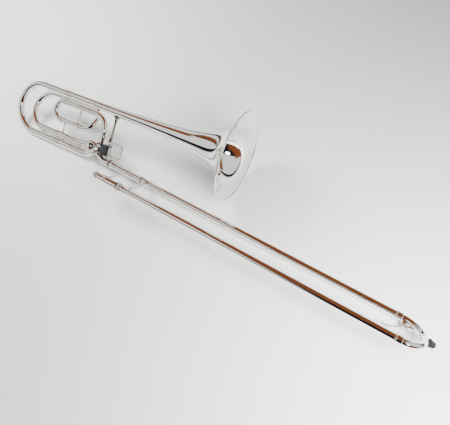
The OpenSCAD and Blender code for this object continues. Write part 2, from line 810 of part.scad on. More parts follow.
// ---------- the assembly ----------
lying() bell_side() bell();
lying() bell_side() bell_rim_wire();
lying() bell_side() upper_slide_sleeve();
lying() bell_side() lower_slide_sleeve();
lying() bell_side() sleeve_ferrules();
lying() bell_side() rear_neck_elbow();
lying() bell_side() neck_pipe();
lying() neck_tenon();
lying() bell_side() valve_casing();
lying() bell_side() bearing_plate();
lying() bell_side() valve_cap();
lying() bell_side() valve_back_plate();
lying() bell_side() stop_bumpers();
lying() bell_side() f_lower_sleeve();
lying() bell_side() f_upper_sleeve();
lying() bell_side() f_sleeve_ferrules();
lying() bell_side() wrap_front_bow();
lying() bell_side() loop_lower_leg();
lying() bell_side() loop_rear_bow();
lying() bell_side() loop_upper_leg();
lying() bell_side() valve_bend();
lying() bell_side() wrap_ferrules();
lying() bell_side() loop_brace();
lying() bell_side() wrap_brace();
lying() bell_side() leg_brace();
lying() bell_side() bell_brace();
lying() bell_side() lever_bracket();
lying() bell_side() hinge_pin();
lying() bell_side() hand_guard();
lying() bell_side() rotor();
lying() bell_side() stop_arm();
lying() bell_side() stop_arm_screw();
lying() bell_side() linkage_rod();
lying() bell_side() thumb_lever();
lying() bell_side() lever_spring();
lying() lock_nut();
lying() bell_side() tuning_bow();
lying() bell_side() tuning_legs();
lying() bell_side() f_tuning_bow();
lying() bell_side() f_tuning_legs();
lying() slide_side() slide_receiver();
lying() slide_side() mouthpiece_receiver();
lying() slide_side() cork_barrels();
lying() slide_side() slide_corks();
lying() slide_side() inner_tubes();
lying() slide_side() leadpipe();
lying() slide_side() inner_brace();
lying() slide_side() slide_lock_ring();
lying() slide_side() outer_tubes();
lying() slide_side() slide_ferrules();
lying() slide_side() outer_brace();
lying() slide_side() slide_bow();
lying() slide_side() bow_ferrules();
lying() slide_side() rubber_bumper();
lying() slide_side() water_key_saddle();
lying() slide_side() water_key_screw();
lying() slide_side() water_key_lever();
lying() slide_side() water_key_cork();
lying() slide_side() water_key_spring();
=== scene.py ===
"""A silver-plated tenor trombone with an F attachment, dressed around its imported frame.

All shapes are given in millimetres in the part's own working spaces, which the matrices
below carry into the frame: the bell section, the instrument at the lock nut, the hand slide
and the water key.
"""
import math

import bmesh
import bpy
from mathutils import Matrix, Vector
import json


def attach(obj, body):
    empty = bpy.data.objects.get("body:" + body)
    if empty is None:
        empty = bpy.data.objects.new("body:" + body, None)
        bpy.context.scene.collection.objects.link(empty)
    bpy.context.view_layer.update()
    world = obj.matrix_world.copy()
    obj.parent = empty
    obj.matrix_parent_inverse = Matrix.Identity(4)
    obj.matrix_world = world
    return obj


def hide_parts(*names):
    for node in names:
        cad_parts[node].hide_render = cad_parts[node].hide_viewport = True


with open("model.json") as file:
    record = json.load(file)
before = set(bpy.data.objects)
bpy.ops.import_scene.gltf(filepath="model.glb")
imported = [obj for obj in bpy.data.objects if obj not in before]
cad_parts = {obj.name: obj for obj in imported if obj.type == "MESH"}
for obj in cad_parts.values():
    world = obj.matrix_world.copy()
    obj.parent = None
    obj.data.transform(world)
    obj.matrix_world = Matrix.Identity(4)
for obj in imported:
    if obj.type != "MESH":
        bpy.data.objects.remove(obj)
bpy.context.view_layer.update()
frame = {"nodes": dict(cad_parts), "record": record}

MM = 0.001


def turned_about(axis, degrees):
    return Matrix.Rotation(math.radians(degrees), 4, axis)


def moved(x=0.0, y=0.0, z=0.0):
    return Matrix.Translation((x, y, z))


# ---------- working spaces, in millimetres ----------
LYING = (Matrix.Scale(MM, 4) @ moved(-238.87, -76.42, 17.78)
         @ turned_about("Y", 0.616) @ turned_about("X", -52.465))
BELL = LYING @ turned_about("Y", -4)
SLIDE = LYING @ turned_about("X", 191)
KEY = SLIDE @ turned_about("X", 30)

# ---------- sizes, in millimetres ----------
BELL_R = 108.0
BELL_X = 325.0
SPREAD = 133.0
BELL_WALL = 0.7
FLARE_POWER = 0.85
FLARE_OFFSET = 27.0
TAIL_X = -96.0
TUNING_R = 8.8
SLEEVE_R = 9.6
WRAP_R = 7.8
F_SLEEVE_R = 8.55
SLIDE_SPREAD = 89.0
OUTER_R = 7.9
INNER_R = 7.35
OUTER_BORE_R = INNER_R + 0.15
SLIDE_FRONT_X = 772.0
TUNING_BOW_X = -281.0
SLEEVE_REAR_X = -186.0
SLEEVE_FRONT_X = -95.0
TUNING_LEG_FRONT_X = -106.0
SLEEVE_GAP = 0.05
LEG_WALL = 0.65
F_BOW_X = -254.0
F_LOW_Z = 22.0
F_HIGH_Z = 120.0
F_HIGH_Y = 24.0
F_SLEEVE_REAR_X = -196.0
F_SLEEVE_FRONT_X = -127.0
FRONT_BOW_X = -122.0
LOOP_LOW_Z = 61.5
LOOP_HIGH_Z = 110.0
LOOP_REAR_X = -197.0
VALVE_X = -60.0
VALVE_Z = 24.0
CASING_INSIDE_R = 19.3
BEND_R = 37.0
BEND_LEG_X = -47.0
BRACE_X = -22.0
LOOP_BRACE_X = -137.0
WRAP_BRACE_X = -180.0
LEG_BRACES_X = (-172.0, -112.0)
GUARD_X = -26.5
GUARD_Y = -7.6
GUARD_Z = 15.8
GUARD_WIDTH = 19.0
GUARD_DEPTH = 21.2
LEVER_X = -12.0
LEVER_Y = -8.0
LINK_Y = 19.3
LINK_PIN_R = 7.0
LINK_Z = VALVE_Z + 4.95
STOP_ARM_REST = math.radians(45)
MOUTH_X = 27.0
BARREL_X = 104.0
LOCK_X = BARREL_X - 6.8
INNER_BRACE_X = 56.0
OUTER_BRACE_X = 122.0
OUTER_TUBE_X = 78.0
KEY_X = 779.0
KEY_HINGE_Y = 17.0
KEY_NIPPLE_X = 793.0
TUBE_SIDES = 48
F_LEGS = ((0.0, F_LOW_Z, F_SLEEVE_REAR_X), (F_HIGH_Y, F_HIGH_Z, F_SLEEVE_REAR_X - 16))


# ---------- mesh making ----------
def around(count):
    """Angles of a full turn in radians, the last one short of the first."""
    return [2 * math.pi * i / count for i in range(count)]


def arc(start, sweep, steps):
    """Angles in radians from start degrees through sweep degrees, both ends included."""
    return [math.radians(start + sweep * i / steps) for i in range(steps + 1)]


class Shape:
    """Collects surfaces in a working space and turns them into one smooth piece."""

    def __init__(self):
        self.points = []
        self.faces = []

    def grid(self, rows, wrap_rows=False):
        """Rows of points become quads. Each row closes on itself; wrap_rows joins last to first."""
        first = len(self.points)
        count = len(rows[0])
        for row in rows:
            self.points.extend(Vector(p) for p in row)
        last_row = len(rows) if wrap_rows else len(rows) - 1
        for i in range(last_row):
            a = first + i * count
            b = first + ((i + 1) % len(rows)) * count
            for j in range(count):
                k = (j + 1) % count
                self.faces.append((a + j, a + k, b + k, b + j))
        return self

    def loft(self, rows):
        """A grid whose first and last rows are closed with flat faces."""
        start = len(self.points)
        self.grid(rows)
        end = len(self.points)
        self.faces.append(tuple(range(start, start + len(rows[0]))))
        self.faces.append(tuple(reversed(range(end - len(rows[0]), end))))
        return self

    def turned(self, profile, place=Matrix.Identity(4), segments=72, closed=True):
        """Surface of revolution about local X from (x, radius) points."""
        rows = []
        for x, radius in profile:
            rows.append([place @ Vector((x, radius * math.cos(a), radius * math.sin(a)))
                         for a in around(segments)])
        return self.grid(rows, wrap_rows=True) if closed else self.loft(rows)

    def swept(self, path, radius, sides=24, closed=False):
        """Round bar along a path; radius is one number or one for each point."""
        count = len(path)
        radii = radius if isinstance(radius, (list, tuple)) else [radius] * count
        path = [Vector(p) for p in path]
        rows = []
        normal = None
        for i, p in enumerate(path):
            before = path[(i - 1) % count] if closed or i else p
            after = path[(i + 1) % count] if closed or i < count - 1 else p
            along = (after - before).normalized()
            if normal is None:
                seed = Vector((0, 0, 1)) if abs(along.z) < 0.9 else Vector((0, 1, 0))
                normal = along.cross(seed).normalized()
            normal = (normal - along * normal.dot(along)).normalized()
            side = along.cross(normal)
            rows.append([p + radii[i] * (math.cos(a) * normal + math.sin(a) * side)
                         for a in around(sides)])
        return self.grid(rows, wrap_rows=True) if closed else self.loft(rows)

    def bow(self, centre, radius, tube, start, sweep, tilt=0.0, steps=64, sides=TUBE_SIDES):
        """Arc of round tube about centre, angles from +X to +Z, tilted about X."""
        place = moved(*centre) @ turned_about("X", -tilt)
        path = [place @ Vector((radius * math.cos(a), 0, radius * math.sin(a)))
                for a in arc(start, sweep, steps)]
        return self.swept(path, tube, sides=sides)

    def slab(self, outline, place, low, high, ease=0.4):
        """Flat plate of an outline in local XY from low to high, with eased edges."""
        middle = sum((Vector(p) for p in outline), Vector((0, 0))) / len(outline)

        def ring(inset, z):
            row = []
            for p in outline:
                away = Vector(p) - middle
                q = middle + away * (1 - inset / max(away.length, inset))
                row.append(place @ Vector((q.x, q.y, z)))
            return row

        levels = ((ease, low), (ease * 0.3, low + ease * 0.3), (0, low + ease))
        levels += ((0, high - ease), (ease * 0.3, high - ease * 0.3), (ease, high))
        return self.loft([ring(inset, z) for inset, z in levels])

    def ridged(self, xs, height, radii, count, place=Matrix.Identity(4)):
        """Small ridges along local X, evenly spaced round it at the given height."""
        for i in range(count):
            turn = place @ turned_about("X", 360 * i / count)
            self.swept([turn @ Vector((x, 0, height)) for x in xs], radii, sides=6)
        return self

    def made(self, name, space, body, slot, material, stands_for=None, sharp=32):
        """Builds the mesh, rides it on a body and hides the CAD node that it stands for."""
        mesh = bpy.data.meshes.new(name)
        mesh.from_pydata([space @ p for p in self.points], [], self.faces)
        mesh.validate()
        recalculate(mesh)
        mesh.polygons.foreach_set("use_smooth", [True] * len(mesh.polygons))
        mesh.set_sharp_from_angle(angle=math.radians(sharp))
        mesh.materials.append(material)
        piece = bpy.data.objects.new(name, mesh)
        bpy.context.scene.collection.objects.link(piece)
        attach(piece, body)
        if stands_for:
            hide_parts(stands_for)
        return piece


def recalculate(mesh):
    """Makes every shell's normals point outwards."""
    work = bmesh.new()
    work.from_mesh(mesh)
    bmesh.ops.recalc_face_normals(work, faces=work.faces)
    work.to_mesh(mesh)
    work.free()


def eased(profile, size=0.35):
    """A closed (x, r) profile with each corner cut into a small round."""
    out = []
    count = len(profile)
    for i in range(count):
        p = Vector(profile[i])
        before = Vector(profile[i - 1]) - p
        after = Vector(profile[(i + 1) % count]) - p
        cut = min(size, 0.45 * before.length, 0.45 * after.length)
        start = p + before.normalized() * cut
        end = p + after.normalized() * cut
        for t in (0.0, 0.25, 0.5, 0.75, 1.0):
            q = start.lerp(p, t).lerp(p.lerp(end, t), t)
            out.append((q.x, q.y))
    return out


def pipe(x0, x1, outer, inner):
    return eased([(x0, inner), (x0, outer), (x1, outer), (x1, inner)], 0.3)


def ferrule(x0, x1, outer, inner, bead=0.5):
    """Turned ferrule: a raised bead at each end and a shallow waist between."""
    width = min(2.2, (x1 - x0) / 4)
    points = [(x0, inner), (x0, outer), (x0 + width, outer), (x0 + width * 1.3, outer - bead)]
    points += [(x1 - width * 1.3, outer - bead), (x1 - width, outer), (x1, outer), (x1, inner)]
    return eased(points, 0.3)


# ---------- materials ----------
def new_material(name):
    material = bpy.data.materials.new(name)
    material.use_nodes = True
    nodes = material.node_tree.nodes
    links = material.node_tree.links
    shader = nodes["Principled BSDF"]
    place = nodes.new("ShaderNodeTexCoord")
    return material, nodes, links, shader, place


def noise(nodes, links, place, scale, detail=4.0, roughness=0.55, stretch=(1, 1, 1)):
    mapping = nodes.new("ShaderNodeMapping")
    mapping.inputs["Scale"].default_value = stretch
    links.new(place.outputs["Object"], mapping.inputs["Vector"])
    texture = nodes.new("ShaderNodeTexNoise")
    texture.inputs["Scale"].default_value = scale
    texture.inputs["Detail"].default_value = detail
    texture.inputs["Roughness"].default_value = roughness
    links.new(mapping.outputs["Vector"], texture.inputs["Vector"])
    return texture


def coloured(nodes, links, shader, source, stops):
    """Base colour from a source through a ramp of (position, colour) stops."""
    node = nodes.new("ShaderNodeValToRGB")
    elements = node.color_ramp.elements
    while len(elements) < len(stops):
        elements.new(0.5)
    for element, (position, color) in zip(elements, stops):
        element.position = position
        element.color = (*color, 1)
    links.new(source, node.inputs["Fac"])
    links.new(node.outputs["Color"], shader.inputs["Base Color"])


def roughened(nodes, links, shader, source, low, high):
    node = nodes.new("ShaderNodeMapRange")
    node.inputs["To Min"].default_value = low
    node.inputs["To Max"].default_value = high
    links.new(source, node.inputs["Value"])
    links.new(node.outputs["Result"], shader.inputs["Roughness"])


def bump(nodes, links, shader, source, strength, distance):
    node = nodes.new("ShaderNodeBump")
    node.inputs["Strength"].default_value = strength
    node.inputs["Distance"].default_value = distance
    links.new(source, node.inputs["Height"])
    links.new(node.outputs["Normal"], shader.inputs["Normal"])


def silver(name, bright, warm, rough_low, rough_high, stretch=(1, 1, 1)):
    """Silver plate: faint warm tarnish in patches and fine polishing marks."""
    material, nodes, links, shader, place = new_material(name)
    shader.inputs["Metallic"].default_value = 1.0
    patches = noise(nodes, links, place, 22.0, 5.0)
    coloured(nodes, links, shader, patches.outputs["Fac"], ((0.3, bright), (0.75, warm)))
    smears = noise(nodes, links, place, 60.0, 6.0, stretch=stretch)
    roughened(nodes, links, shader, smears.outputs["Fac"], rough_low, rough_high)
    marks = noise(nodes, links, place, 1400.0, 2.0, stretch=stretch)
    bump(nodes, links, shader, marks.outputs["Fac"], 0.02, 0.0002)
    return material


def machined(name, light, dark, rough):
    material, nodes, links, shader, place = new_material(name)
    shader.inputs["Metallic"].default_value = 1.0
    grain = noise(nodes, links, place, 180.0, 5.0)
    coloured(nodes, links, shader, grain.outputs["Fac"], ((0.3, light), (0.75, dark)))
    roughened(nodes, links, shader, grain.outputs["Fac"], rough, rough + 0.15)
    bump(nodes, links, shader, grain.outputs["Fac"], 0.1, 0.0002)
    return material


def leather():
    """Black hide: fine pebbled grain, greyer and glossier where hands rub it."""
    material, nodes, links, shader, place = new_material("guard_leather")
    pebbles = nodes.new("ShaderNodeTexVoronoi")
    pebbles.inputs["Scale"].default_value = 900.0
    links.new(place.outputs["Object"], pebbles.inputs["Vector"])
    worn = noise(nodes, links, place, 90.0, 5.0)
    coloured(nodes, links, shader, worn.outputs["Fac"],
             ((0.35, (0.008, 0.009, 0.011)), (0.8, (0.045, 0.047, 0.052))))
    roughened(nodes, links, shader, worn.outputs["Fac"], 0.62, 0.38)
    bump(nodes, links, shader, pebbles.outputs["Distance"], 0.5, 0.0003)
    return material


def rubber():
    material, nodes, links, shader, place = new_material("black_rubber")
    dust = noise(nodes, links, place, 300.0, 6.0)
    coloured(nodes, links, shader, dust.outputs["Fac"],
             ((0.4, (0.012, 0.012, 0.013)), (0.85, (0.05, 0.05, 0.052))))
    shader.inputs["Specular IOR Level"].default_value = 0.05
    roughened(nodes, links, shader, dust.outputs["Fac"], 0.42, 0.6)
    bump(nodes, links, shader, dust.outputs["Fac"], 0.25, 0.0002)
    return material


def cork():
    material, nodes, links, shader, place = new_material("natural_cork")
    cells = nodes.new("ShaderNodeTexVoronoi")
    cells.inputs["Scale"].default_value = 1100.0
    links.new(place.outputs["Object"], cells.inputs["Vector"])
    coloured(nodes, links, shader, cells.outputs["Distance"],
             ((0.1, (0.28, 0.15, 0.07)), (0.6, (0.55, 0.36, 0.2))))
    shader.inputs["Roughness"].default_value = 0.85
    bump(nodes, links, shader, cells.outputs["Distance"], 0.5, 0.0003)
    return material


BELL_SILVER = silver("bell_silver", (0.96, 0.955, 0.94), (0.93, 0.915, 0.88), 0.035, 0.1)
TUBE_SILVER = silver("tube_silver", (0.95, 0.945, 0.93), (0.92, 0.9, 0.86), 0.03, 0.09, (1, 6, 6))
FITTING_SILVER = silver("fitting_silver", (0.93, 0.92, 0.9), (0.86, 0.83, 0.77), 0.07, 0.17)
BRASS = machined("machined_brass", (0.82, 0.66, 0.36), (0.62, 0.46, 0.22), 0.25)
STEEL = machined("turned_steel", (0.62, 0.61, 0.6), (0.45, 0.43, 0.41), 0.25)
# Dark brown for the valve cap's centre screw: painted reflection of the timber overhead.
PAINTED_REFLECTION_SCREW = machined("screw_painted_timber_reflection", (0.2, 0.1, 0.06), (0.1, 0.045, 0.03), 0.3)
# Darker, warmer silver for the thumb paddle's rolled edge.
DARKER_WARM_SILVER = silver("darker_warm_silver", (0.62, 0.6, 0.5), (0.42, 0.4, 0.3), 0.16, 0.3)
# Rougher silver, coloured far darker than the plating: the darkness is painted shade.
DULL_PAINTED_SHADE_SILVER = silver("dull_painted_shade_silver", (0.4, 0.37, 0.33), (0.26, 0.23, 0.2), 0.16, 0.3)
# Near-black colour for the bands on the rings: painted dark reflection.
PAINTED_DARK_REFLECTION = machined("painted_dark_reflection_band", (0.035, 0.034, 0.036), (0.015, 0.015, 0.017), 0.3)
LEATHER = leather()
THREAD = machined("waxed_thread", (0.035, 0.035, 0.037), (0.02, 0.02, 0.021), 0.6)
THREAD.node_tree.nodes["Principled BSDF"].inputs["Metallic"].default_value = 0.0
RUBBER = rubber()
CORK = cork()
SLOT_MATERIALS = {
    "bell_silver": BELL_SILVER,
    "tube_silver": TUBE_SILVER,
    "fitting_silver": FITTING_SILVER,
    "valve_brass": BRASS,
    "steel": STEEL,
    "cork": CORK,
    "rubber": RUBBER,
    "guard_leather": LEATHER,
}
for part in frame["record"]["subparts"]:
    cad_object = frame["nodes"][part["node"]]
    cad_object.data.materials.clear()
    cad_object.data.materials.append(SLOT_MATERIALS[part["material_slot"]])


def silver_tube(shape, node, space=BELL, body="bell_section"):
    return shape.made(node + "_surface", space, body, "tube_silver", TUBE_SILVER, node)


def silver_fitting(shape, node, space=BELL, body="bell_section", sharp=32):
    return shape.made(node + "_surface", space, body, "fitting_silver", FITTING_SILVER, node, sharp)


# ---------- bell ----------
def bell_r(x):
    return BELL_R * (1 + (BELL_X - x) / FLARE_OFFSET) ** -FLARE_POWER


def bell_surface():
    steps = 150
    stations = [BELL_X - (BELL_X - TAIL_X) * (i / steps) ** 2.2 for i in range(steps + 1)]
    profile = [(x, bell_r(x)) for x in stations]
    profile += [(x, bell_r(x) - BELL_WALL) for x in reversed(stations)]
    axis = moved(0, 0, SPREAD)
    shape = Shape().turned(profile, axis, segments=256)
    shape.made("bell_surface", BELL, "bell_section", "bell_silver", BELL_SILVER, "bell")
    wire_r = 1.7
    rim = [(BELL_X + wire_r * math.cos(a), BELL_R - 0.6 + wire_r * math.sin(a)) for a in around(20)]
    shape = Shape().turned(rim, axis, segments=256)
    shape.made("bell_rim_bead", BELL, "bell_section", "bell_silver", BELL_SILVER, "bell_rim_wire",
               sharp=60)


# ---------- fixed tubes of the bell section ----------
def sleeves():
    upper = moved(0, 0, SPREAD)
    tail = bell_r(TAIL_X) + 0.8
    profile = [(SLEEVE_REAR_X, TUNING_R + SLEEVE_GAP), (SLEEVE_REAR_X, SLEEVE_R),
               (TAIL_X - 6, SLEEVE_R)]
    profile += [(TAIL_X - 1, tail), (TAIL_X + 8, tail), (TAIL_X + 8, tail - 0.8),
                (TAIL_X - 6, SLEEVE_R - 0.75)]
    silver_tube(Shape().turned(eased(profile), upper), "upper_slide_sleeve")
    lower = Shape().turned(pipe(SLEEVE_REAR_X, SLEEVE_FRONT_X, SLEEVE_R, TUNING_R + SLEEVE_GAP))
    silver_tube(lower, "lower_slide_sleeve")
    rings = Shape()
    for z in (0, SPREAD):
        rings.turned(ferrule(SLEEVE_REAR_X - 0.5, SLEEVE_REAR_X + 8.5, SLEEVE_R + 1.1, SLEEVE_R),
                     moved(0, 0, z))
    silver_fitting(rings, "sleeve_ferrules")


def neck():
    """Rear elbow, neck pipe with its bend into the valve, and the tapered tenon."""
    rise, bend = 30.0, 40.0
    elbow = Shape()
    elbow.swept(bend_path(SLEEVE_FRONT_X, bend, rise, 1, 8.0, 1.0), TUNING_R - 0.4,
                sides=TUBE_SIDES)
    reach_casing(elbow, rise)
    silver_tube(elbow, "rear_neck_elbow")
    pipe_shape = Shape()
    pipe_shape.swept(bend_path(BRACE_X, 25.0, 40.0, -1, 21.0, 6.0), 8.1, sides=TUBE_SIDES)
    reach_casing(pipe_shape, 140.0)
    silver_tube(pipe_shape, "neck_pipe")
    profile = [(-9, 8.2), (-9, 8.9), (-3.4, 8.9), (-3.3, 9.2), (-0.6, 9.2), (-0.6, 7.7), (44, 6.96),
               (44, 6.2), (-0.8, 6.2)]
    silver_fitting(Shape().turned(eased(profile, 0.2)), "neck_tenon", LYING, "bell_section")


def bend_path(x, radius, rise, side, straight, after):
    """From a straight pipe on the X axis up through a bend; side is its direction in X."""
    path = [(x - side * straight * (1 - i / 4), 0, 0) for i in range(4)]
    for a in arc(0, rise, 24):
        path.append((x + side * radius * math.sin(a), 0, radius * (1 - math.cos(a))))
    a = math.radians(rise)
    end = Vector(path[-1])
    path.append(end + Vector((side * math.cos(a), 0, math.sin(a))) * after)
    return path


def reach_casing(shape, heading):
    """Runs a tube's open end on, at an angle from +X to +Z, until it meets the valve casing."""
    ahead = Vector((math.cos(math.radians(heading)), 0, math.sin(math.radians(heading))))
    for i in range(len(shape.points) - TUBE_SIDES, len(shape.points)):
        p = shape.points[i]
        to_axis = Vector((VALVE_X - p.x, 0, VALVE_Z - p.z))
        along = to_axis.dot(ahead)
        inside = CASING_INSIDE_R ** 2 - to_axis.length_squared + along ** 2
        shape.points[i] = p + ahead * (along - math.sqrt(max(0.0, inside)))


# ---------- rotary valve ----------
def across():
    """Carries local X to bell-section -Y at the valve, so that local +X leaves the cap side."""
    return moved(VALVE_X, 0, VALVE_Z) @ turned_about("Z", -90)


def valve():
    body = [(-13.5, 4.1), (-13.5, 19.6), (-13.1, 20), (-11.2, 20), (-10.8, 19.6), (-9.6, 19.6),
            (-9.2, 20)]
    body += [(16.2, 20), (16.6, 19.6), (17.6, 19.6), (18, 20), (19, 20), (19, 17.06),
             (-10.2, 17.06), (-10.2, 4.1)]
    silver_fitting(Shape().turned(eased(body, 0.25), across(), 128), "valve_casing")
    back = [(-15, 4.6), (-15, 18.4), (-14.4, 19), (-13.5, 19), (-13.5, 4.6)]
    silver_fitting(Shape().turned(eased(back, 0.25), across(), 96), "valve_back_plate")
    cap = [(18.8, 3), (19.1, 17.2), (19.4, 18), (21.6, 18), (22.2, 17.8), (23.2, 16.4), (24, 15.4)]
    cap += [(24.4, 14.2), (24.2, 12.6), (22.9, 6.4), (22.4, 5.4), (21.7, 4.4), (21.4, 3.6),
            (19.2, 3.4)]
    silver_fitting(Shape().turned(eased(cap, 0.3), across(), 144), "valve_cap")
    knurl()
    # The centre screw's dark brown colour is a painted reflection of the timber overhead.
    screw = [(19.6, 0.0), (21.0, 3.3), (21.9, 3.3), (22.3, 2.6), (22.4, 0.0)]
    shape = Shape().turned(screw, across(), 48, closed=False)
    shape.made("valve_cap_centre", BELL, "bell_section", "steel", PAINTED_REFLECTION_SCREW)


def knurl():
    """Grip teeth round the valve cap's rim."""
    teeth = Shape().ridged((19.7, 20.2, 21.0, 21.5), 17.55, [0.3, 0.5, 0.5, 0.3], 60, across())
    teeth.made("valve_cap_knurl", BELL, "bell_section", "fitting_silver", FITTING_SILVER)


# ---------- F tubing ----------
def f_tubing():
    lower = Shape().turned(pipe(F_SLEEVE_REAR_X, F_SLEEVE_FRONT_X, F_SLEEVE_R, WRAP_R + SLEEVE_GAP),
                           moved(0, 0, F_LOW_Z))
    rise = math.radians(10)
    path = [Vector((F_SLEEVE_FRONT_X, 0, F_LOW_Z))]
    for i in range(20):
        turn = rise * min(1.0, i / 8)
        path.append(path[-1] + Vector((math.cos(turn), 0, math.sin(turn))) * 2.0)
    lower.swept(path, WRAP_R, sides=TUBE_SIDES)
    reach_casing(lower, 10.0)
    lower.turned(ferrule(-130, -122.5, F_SLEEVE_R + 0.6, WRAP_R, 0.35), moved(0, 0, F_LOW_Z))
    silver_tube(lower, "f_lower_sleeve")
    high = moved(0, F_HIGH_Y, F_HIGH_Z)
    upper = Shape().turned(pipe(F_LEGS[1][2], FRONT_BOW_X - 7, F_SLEEVE_R, WRAP_R + SLEEVE_GAP),
                           high)
    silver_tube(upper, "f_upper_sleeve")
    rings = Shape()
    for y, z, rear in F_LEGS:
        rings.turned(ferrule(rear - 0.5, rear + 8.5, F_SLEEVE_R + 1, F_SLEEVE_R), moved(0, y, z))
    silver_fitting(rings, "f_sleeve_ferrules")


def loop():
    """The inner loop of F tubing, from the front bow round to the valve."""
    rise = F_HIGH_Z - LOOP_LOW_Z
    tilt = math.degrees(math.atan2(F_HIGH_Y, rise))
    centre = (FRONT_BOW_X, F_HIGH_Y / 2, (LOOP_LOW_Z + F_HIGH_Z) / 2)
    front = Shape().bow(centre, math.hypot(rise, F_HIGH_Y) / 2, WRAP_R, -90, 180, tilt)
    for y, z in ((F_HIGH_Y, F_HIGH_Z), (0, LOOP_LOW_Z)):
        front.turned([(FRONT_BOW_X - 7, WRAP_R), (FRONT_BOW_X, WRAP_R)], moved(0, y, z),
                     closed=False)
    silver_tube(front, "wrap_front_bow")
    low = Shape().turned([(LOOP_REAR_X + 7, WRAP_R), (FRONT_BOW_X - 7, WRAP_R)],
                         moved(0, 0, LOOP_LOW_Z), closed=False)
    silver_tube(low, "loop_lower_leg")
    radius = (LOOP_HIGH_Z - LOOP_LOW_Z) / 2
    rear = Shape().bow((LOOP_REAR_X, 0, LOOP_LOW_Z + radius), radius, WRAP_R, 90, 180)
    for z in (LOOP_LOW_Z, LOOP_HIGH_Z):
        rear.turned([(LOOP_REAR_X, WRAP_R), (LOOP_REAR_X + 7, WRAP_R)], moved(0, 0, z),
                    closed=False)
    silver_tube(rear, "loop_rear_bow")
    corner_x = BEND_LEG_X - BEND_R
    high = Shape().turned([(LOOP_REAR_X + 7, WRAP_R), (corner_x - 7, WRAP_R)],
                          moved(0, 0, LOOP_HIGH_Z), closed=False)
    silver_tube(high, "loop_upper_leg")
    path = [(corner_x - 7, 0, LOOP_HIGH_Z), (corner_x - 3, 0, LOOP_HIGH_Z)]
    for a in arc(90, -90, 48):
        path.append((corner_x + BEND_R * math.cos(a), 0,
                     LOOP_HIGH_Z - BEND_R + BEND_R * math.sin(a)))
    path += [(BEND_LEG_X, 0, z) for z in (68, 60, 54, 48)]
    bend = Shape().swept(path, WRAP_R, sides=TUBE_SIDES)
    reach_casing(bend, -90.0)
    silver_tube(bend, "valve_bend")
    loop_ferrules(corner_x)


def loop_ferrules(corner_x):
    rings = Shape()
    r = WRAP_R + 0.75
    spots = ((FRONT_BOW_X - 7, LOOP_LOW_Z), (LOOP_REAR_X + 7, LOOP_LOW_Z))
    spots += ((LOOP_REAR_X + 7, LOOP_HIGH_Z), (corner_x - 7, LOOP_HIGH_Z))
    for x, z in spots:
        rings.turned(ferrule(x - 3.5, x + 3.5, r, WRAP_R, 0.4), moved(0, 0, z))
    high = moved(0, F_HIGH_Y, F_HIGH_Z)
    rings.turned(ferrule(FRONT_BOW_X - 10.5, FRONT_BOW_X - 3.5, F_SLEEVE_R + 0.7, WRAP_R, 0.4),
                 high)
    upright = moved(BEND_LEG_X, 0, 62) @ turned_about("Y", -90)
    rings.turned(ferrule(-3.5, 3.5, r, WRAP_R, 0.4), upright)
    silver_fitting(rings, "wrap_ferrules")


# ---------- braces ----------
def upright_at(x, z=0.0):
    """Carries local X to the space's +Z."""
    return moved(x, 0, z) @ turned_about("Y", -90)


def baluster(length, r):
    """Turned brace: a foot, a ball and a slim waist at each end, mirrored about its middle."""
    half = [(0, r * 2.4), (1.0, r * 2.4), (2.0, r * 1.6), (3.0, r * 1.25), (3.7, r * 1.6),
            (4.4, r * 1.7)]
    half += [(5.2, r * 1.55), (6.4, r), (8.0, r * 0.92)]
    return half + [(length - x, radius) for x, radius in reversed(half)]


def wrap_braces():
    loop_foot = LOOP_LOW_Z + WRAP_R - 0.7
    loop_shape = Shape()
    length = LOOP_HIGH_Z - WRAP_R + 0.7 - loop_foot
    loop_shape.turned(baluster(length, 1.8), upright_at(LOOP_BRACE_X, loop_foot), 32, closed=False)
    silver_fitting(loop_shape, "loop_brace", sharp=50)
    foot = F_LOW_Z + F_SLEEVE_R - 0.7
    length = LOOP_LOW_Z - WRAP_R + 0.7 - foot
    wrap_shape = Shape().turned(baluster(length, 1.8), upright_at(WRAP_BRACE_X, foot), 32,
                                closed=False)
    silver_fitting(wrap_shape, "wrap_brace", sharp=50)
    legs = Shape()
    low = SLEEVE_R - 1.0
    high = F_LOW_Z - F_SLEEVE_R + 1.0
    for x in LEG_BRACES_X:
        waist = [(low, 4), (low + 1.4, 4), (low + 1.9, 3.2), (high - 1.9, 3.2), (high - 1.4, 4),
                 (high, 4)]
        legs.turned(waist, upright_at(x), 32, closed=False)
    silver_fitting(legs, "leg_brace")


def bell_brace():
    top = SPREAD - bell_r(BRACE_X) + 0.6
    profile = [(54, 6.5), (55.2, 6.5), (56, 5.6), (59.5, 3.7), (61, 4.4), (62.4, 4.5), (64, 3.4),
               (67, 2.7)]
    profile += [(top - 17, 2.7), (top - 13, 3.4), (top - 11, 4.6), (top - 9.6, 4.4),
                (top - 8.4, 3.7)]
    profile += [(top - 5, 5.6), (top - 4, 7.6), (top, 8)]
    shape = Shape().turned(profile, upright_at(BRACE_X), 48, closed=False)
    # The brace's dark colour is painted shade; its plating is the same as the rest.
    shape.made("bell_brace_surface", BELL, "bell_section", "fitting_silver", DULL_PAINTED_SHADE_SILVER,
               "bell_brace", 50)


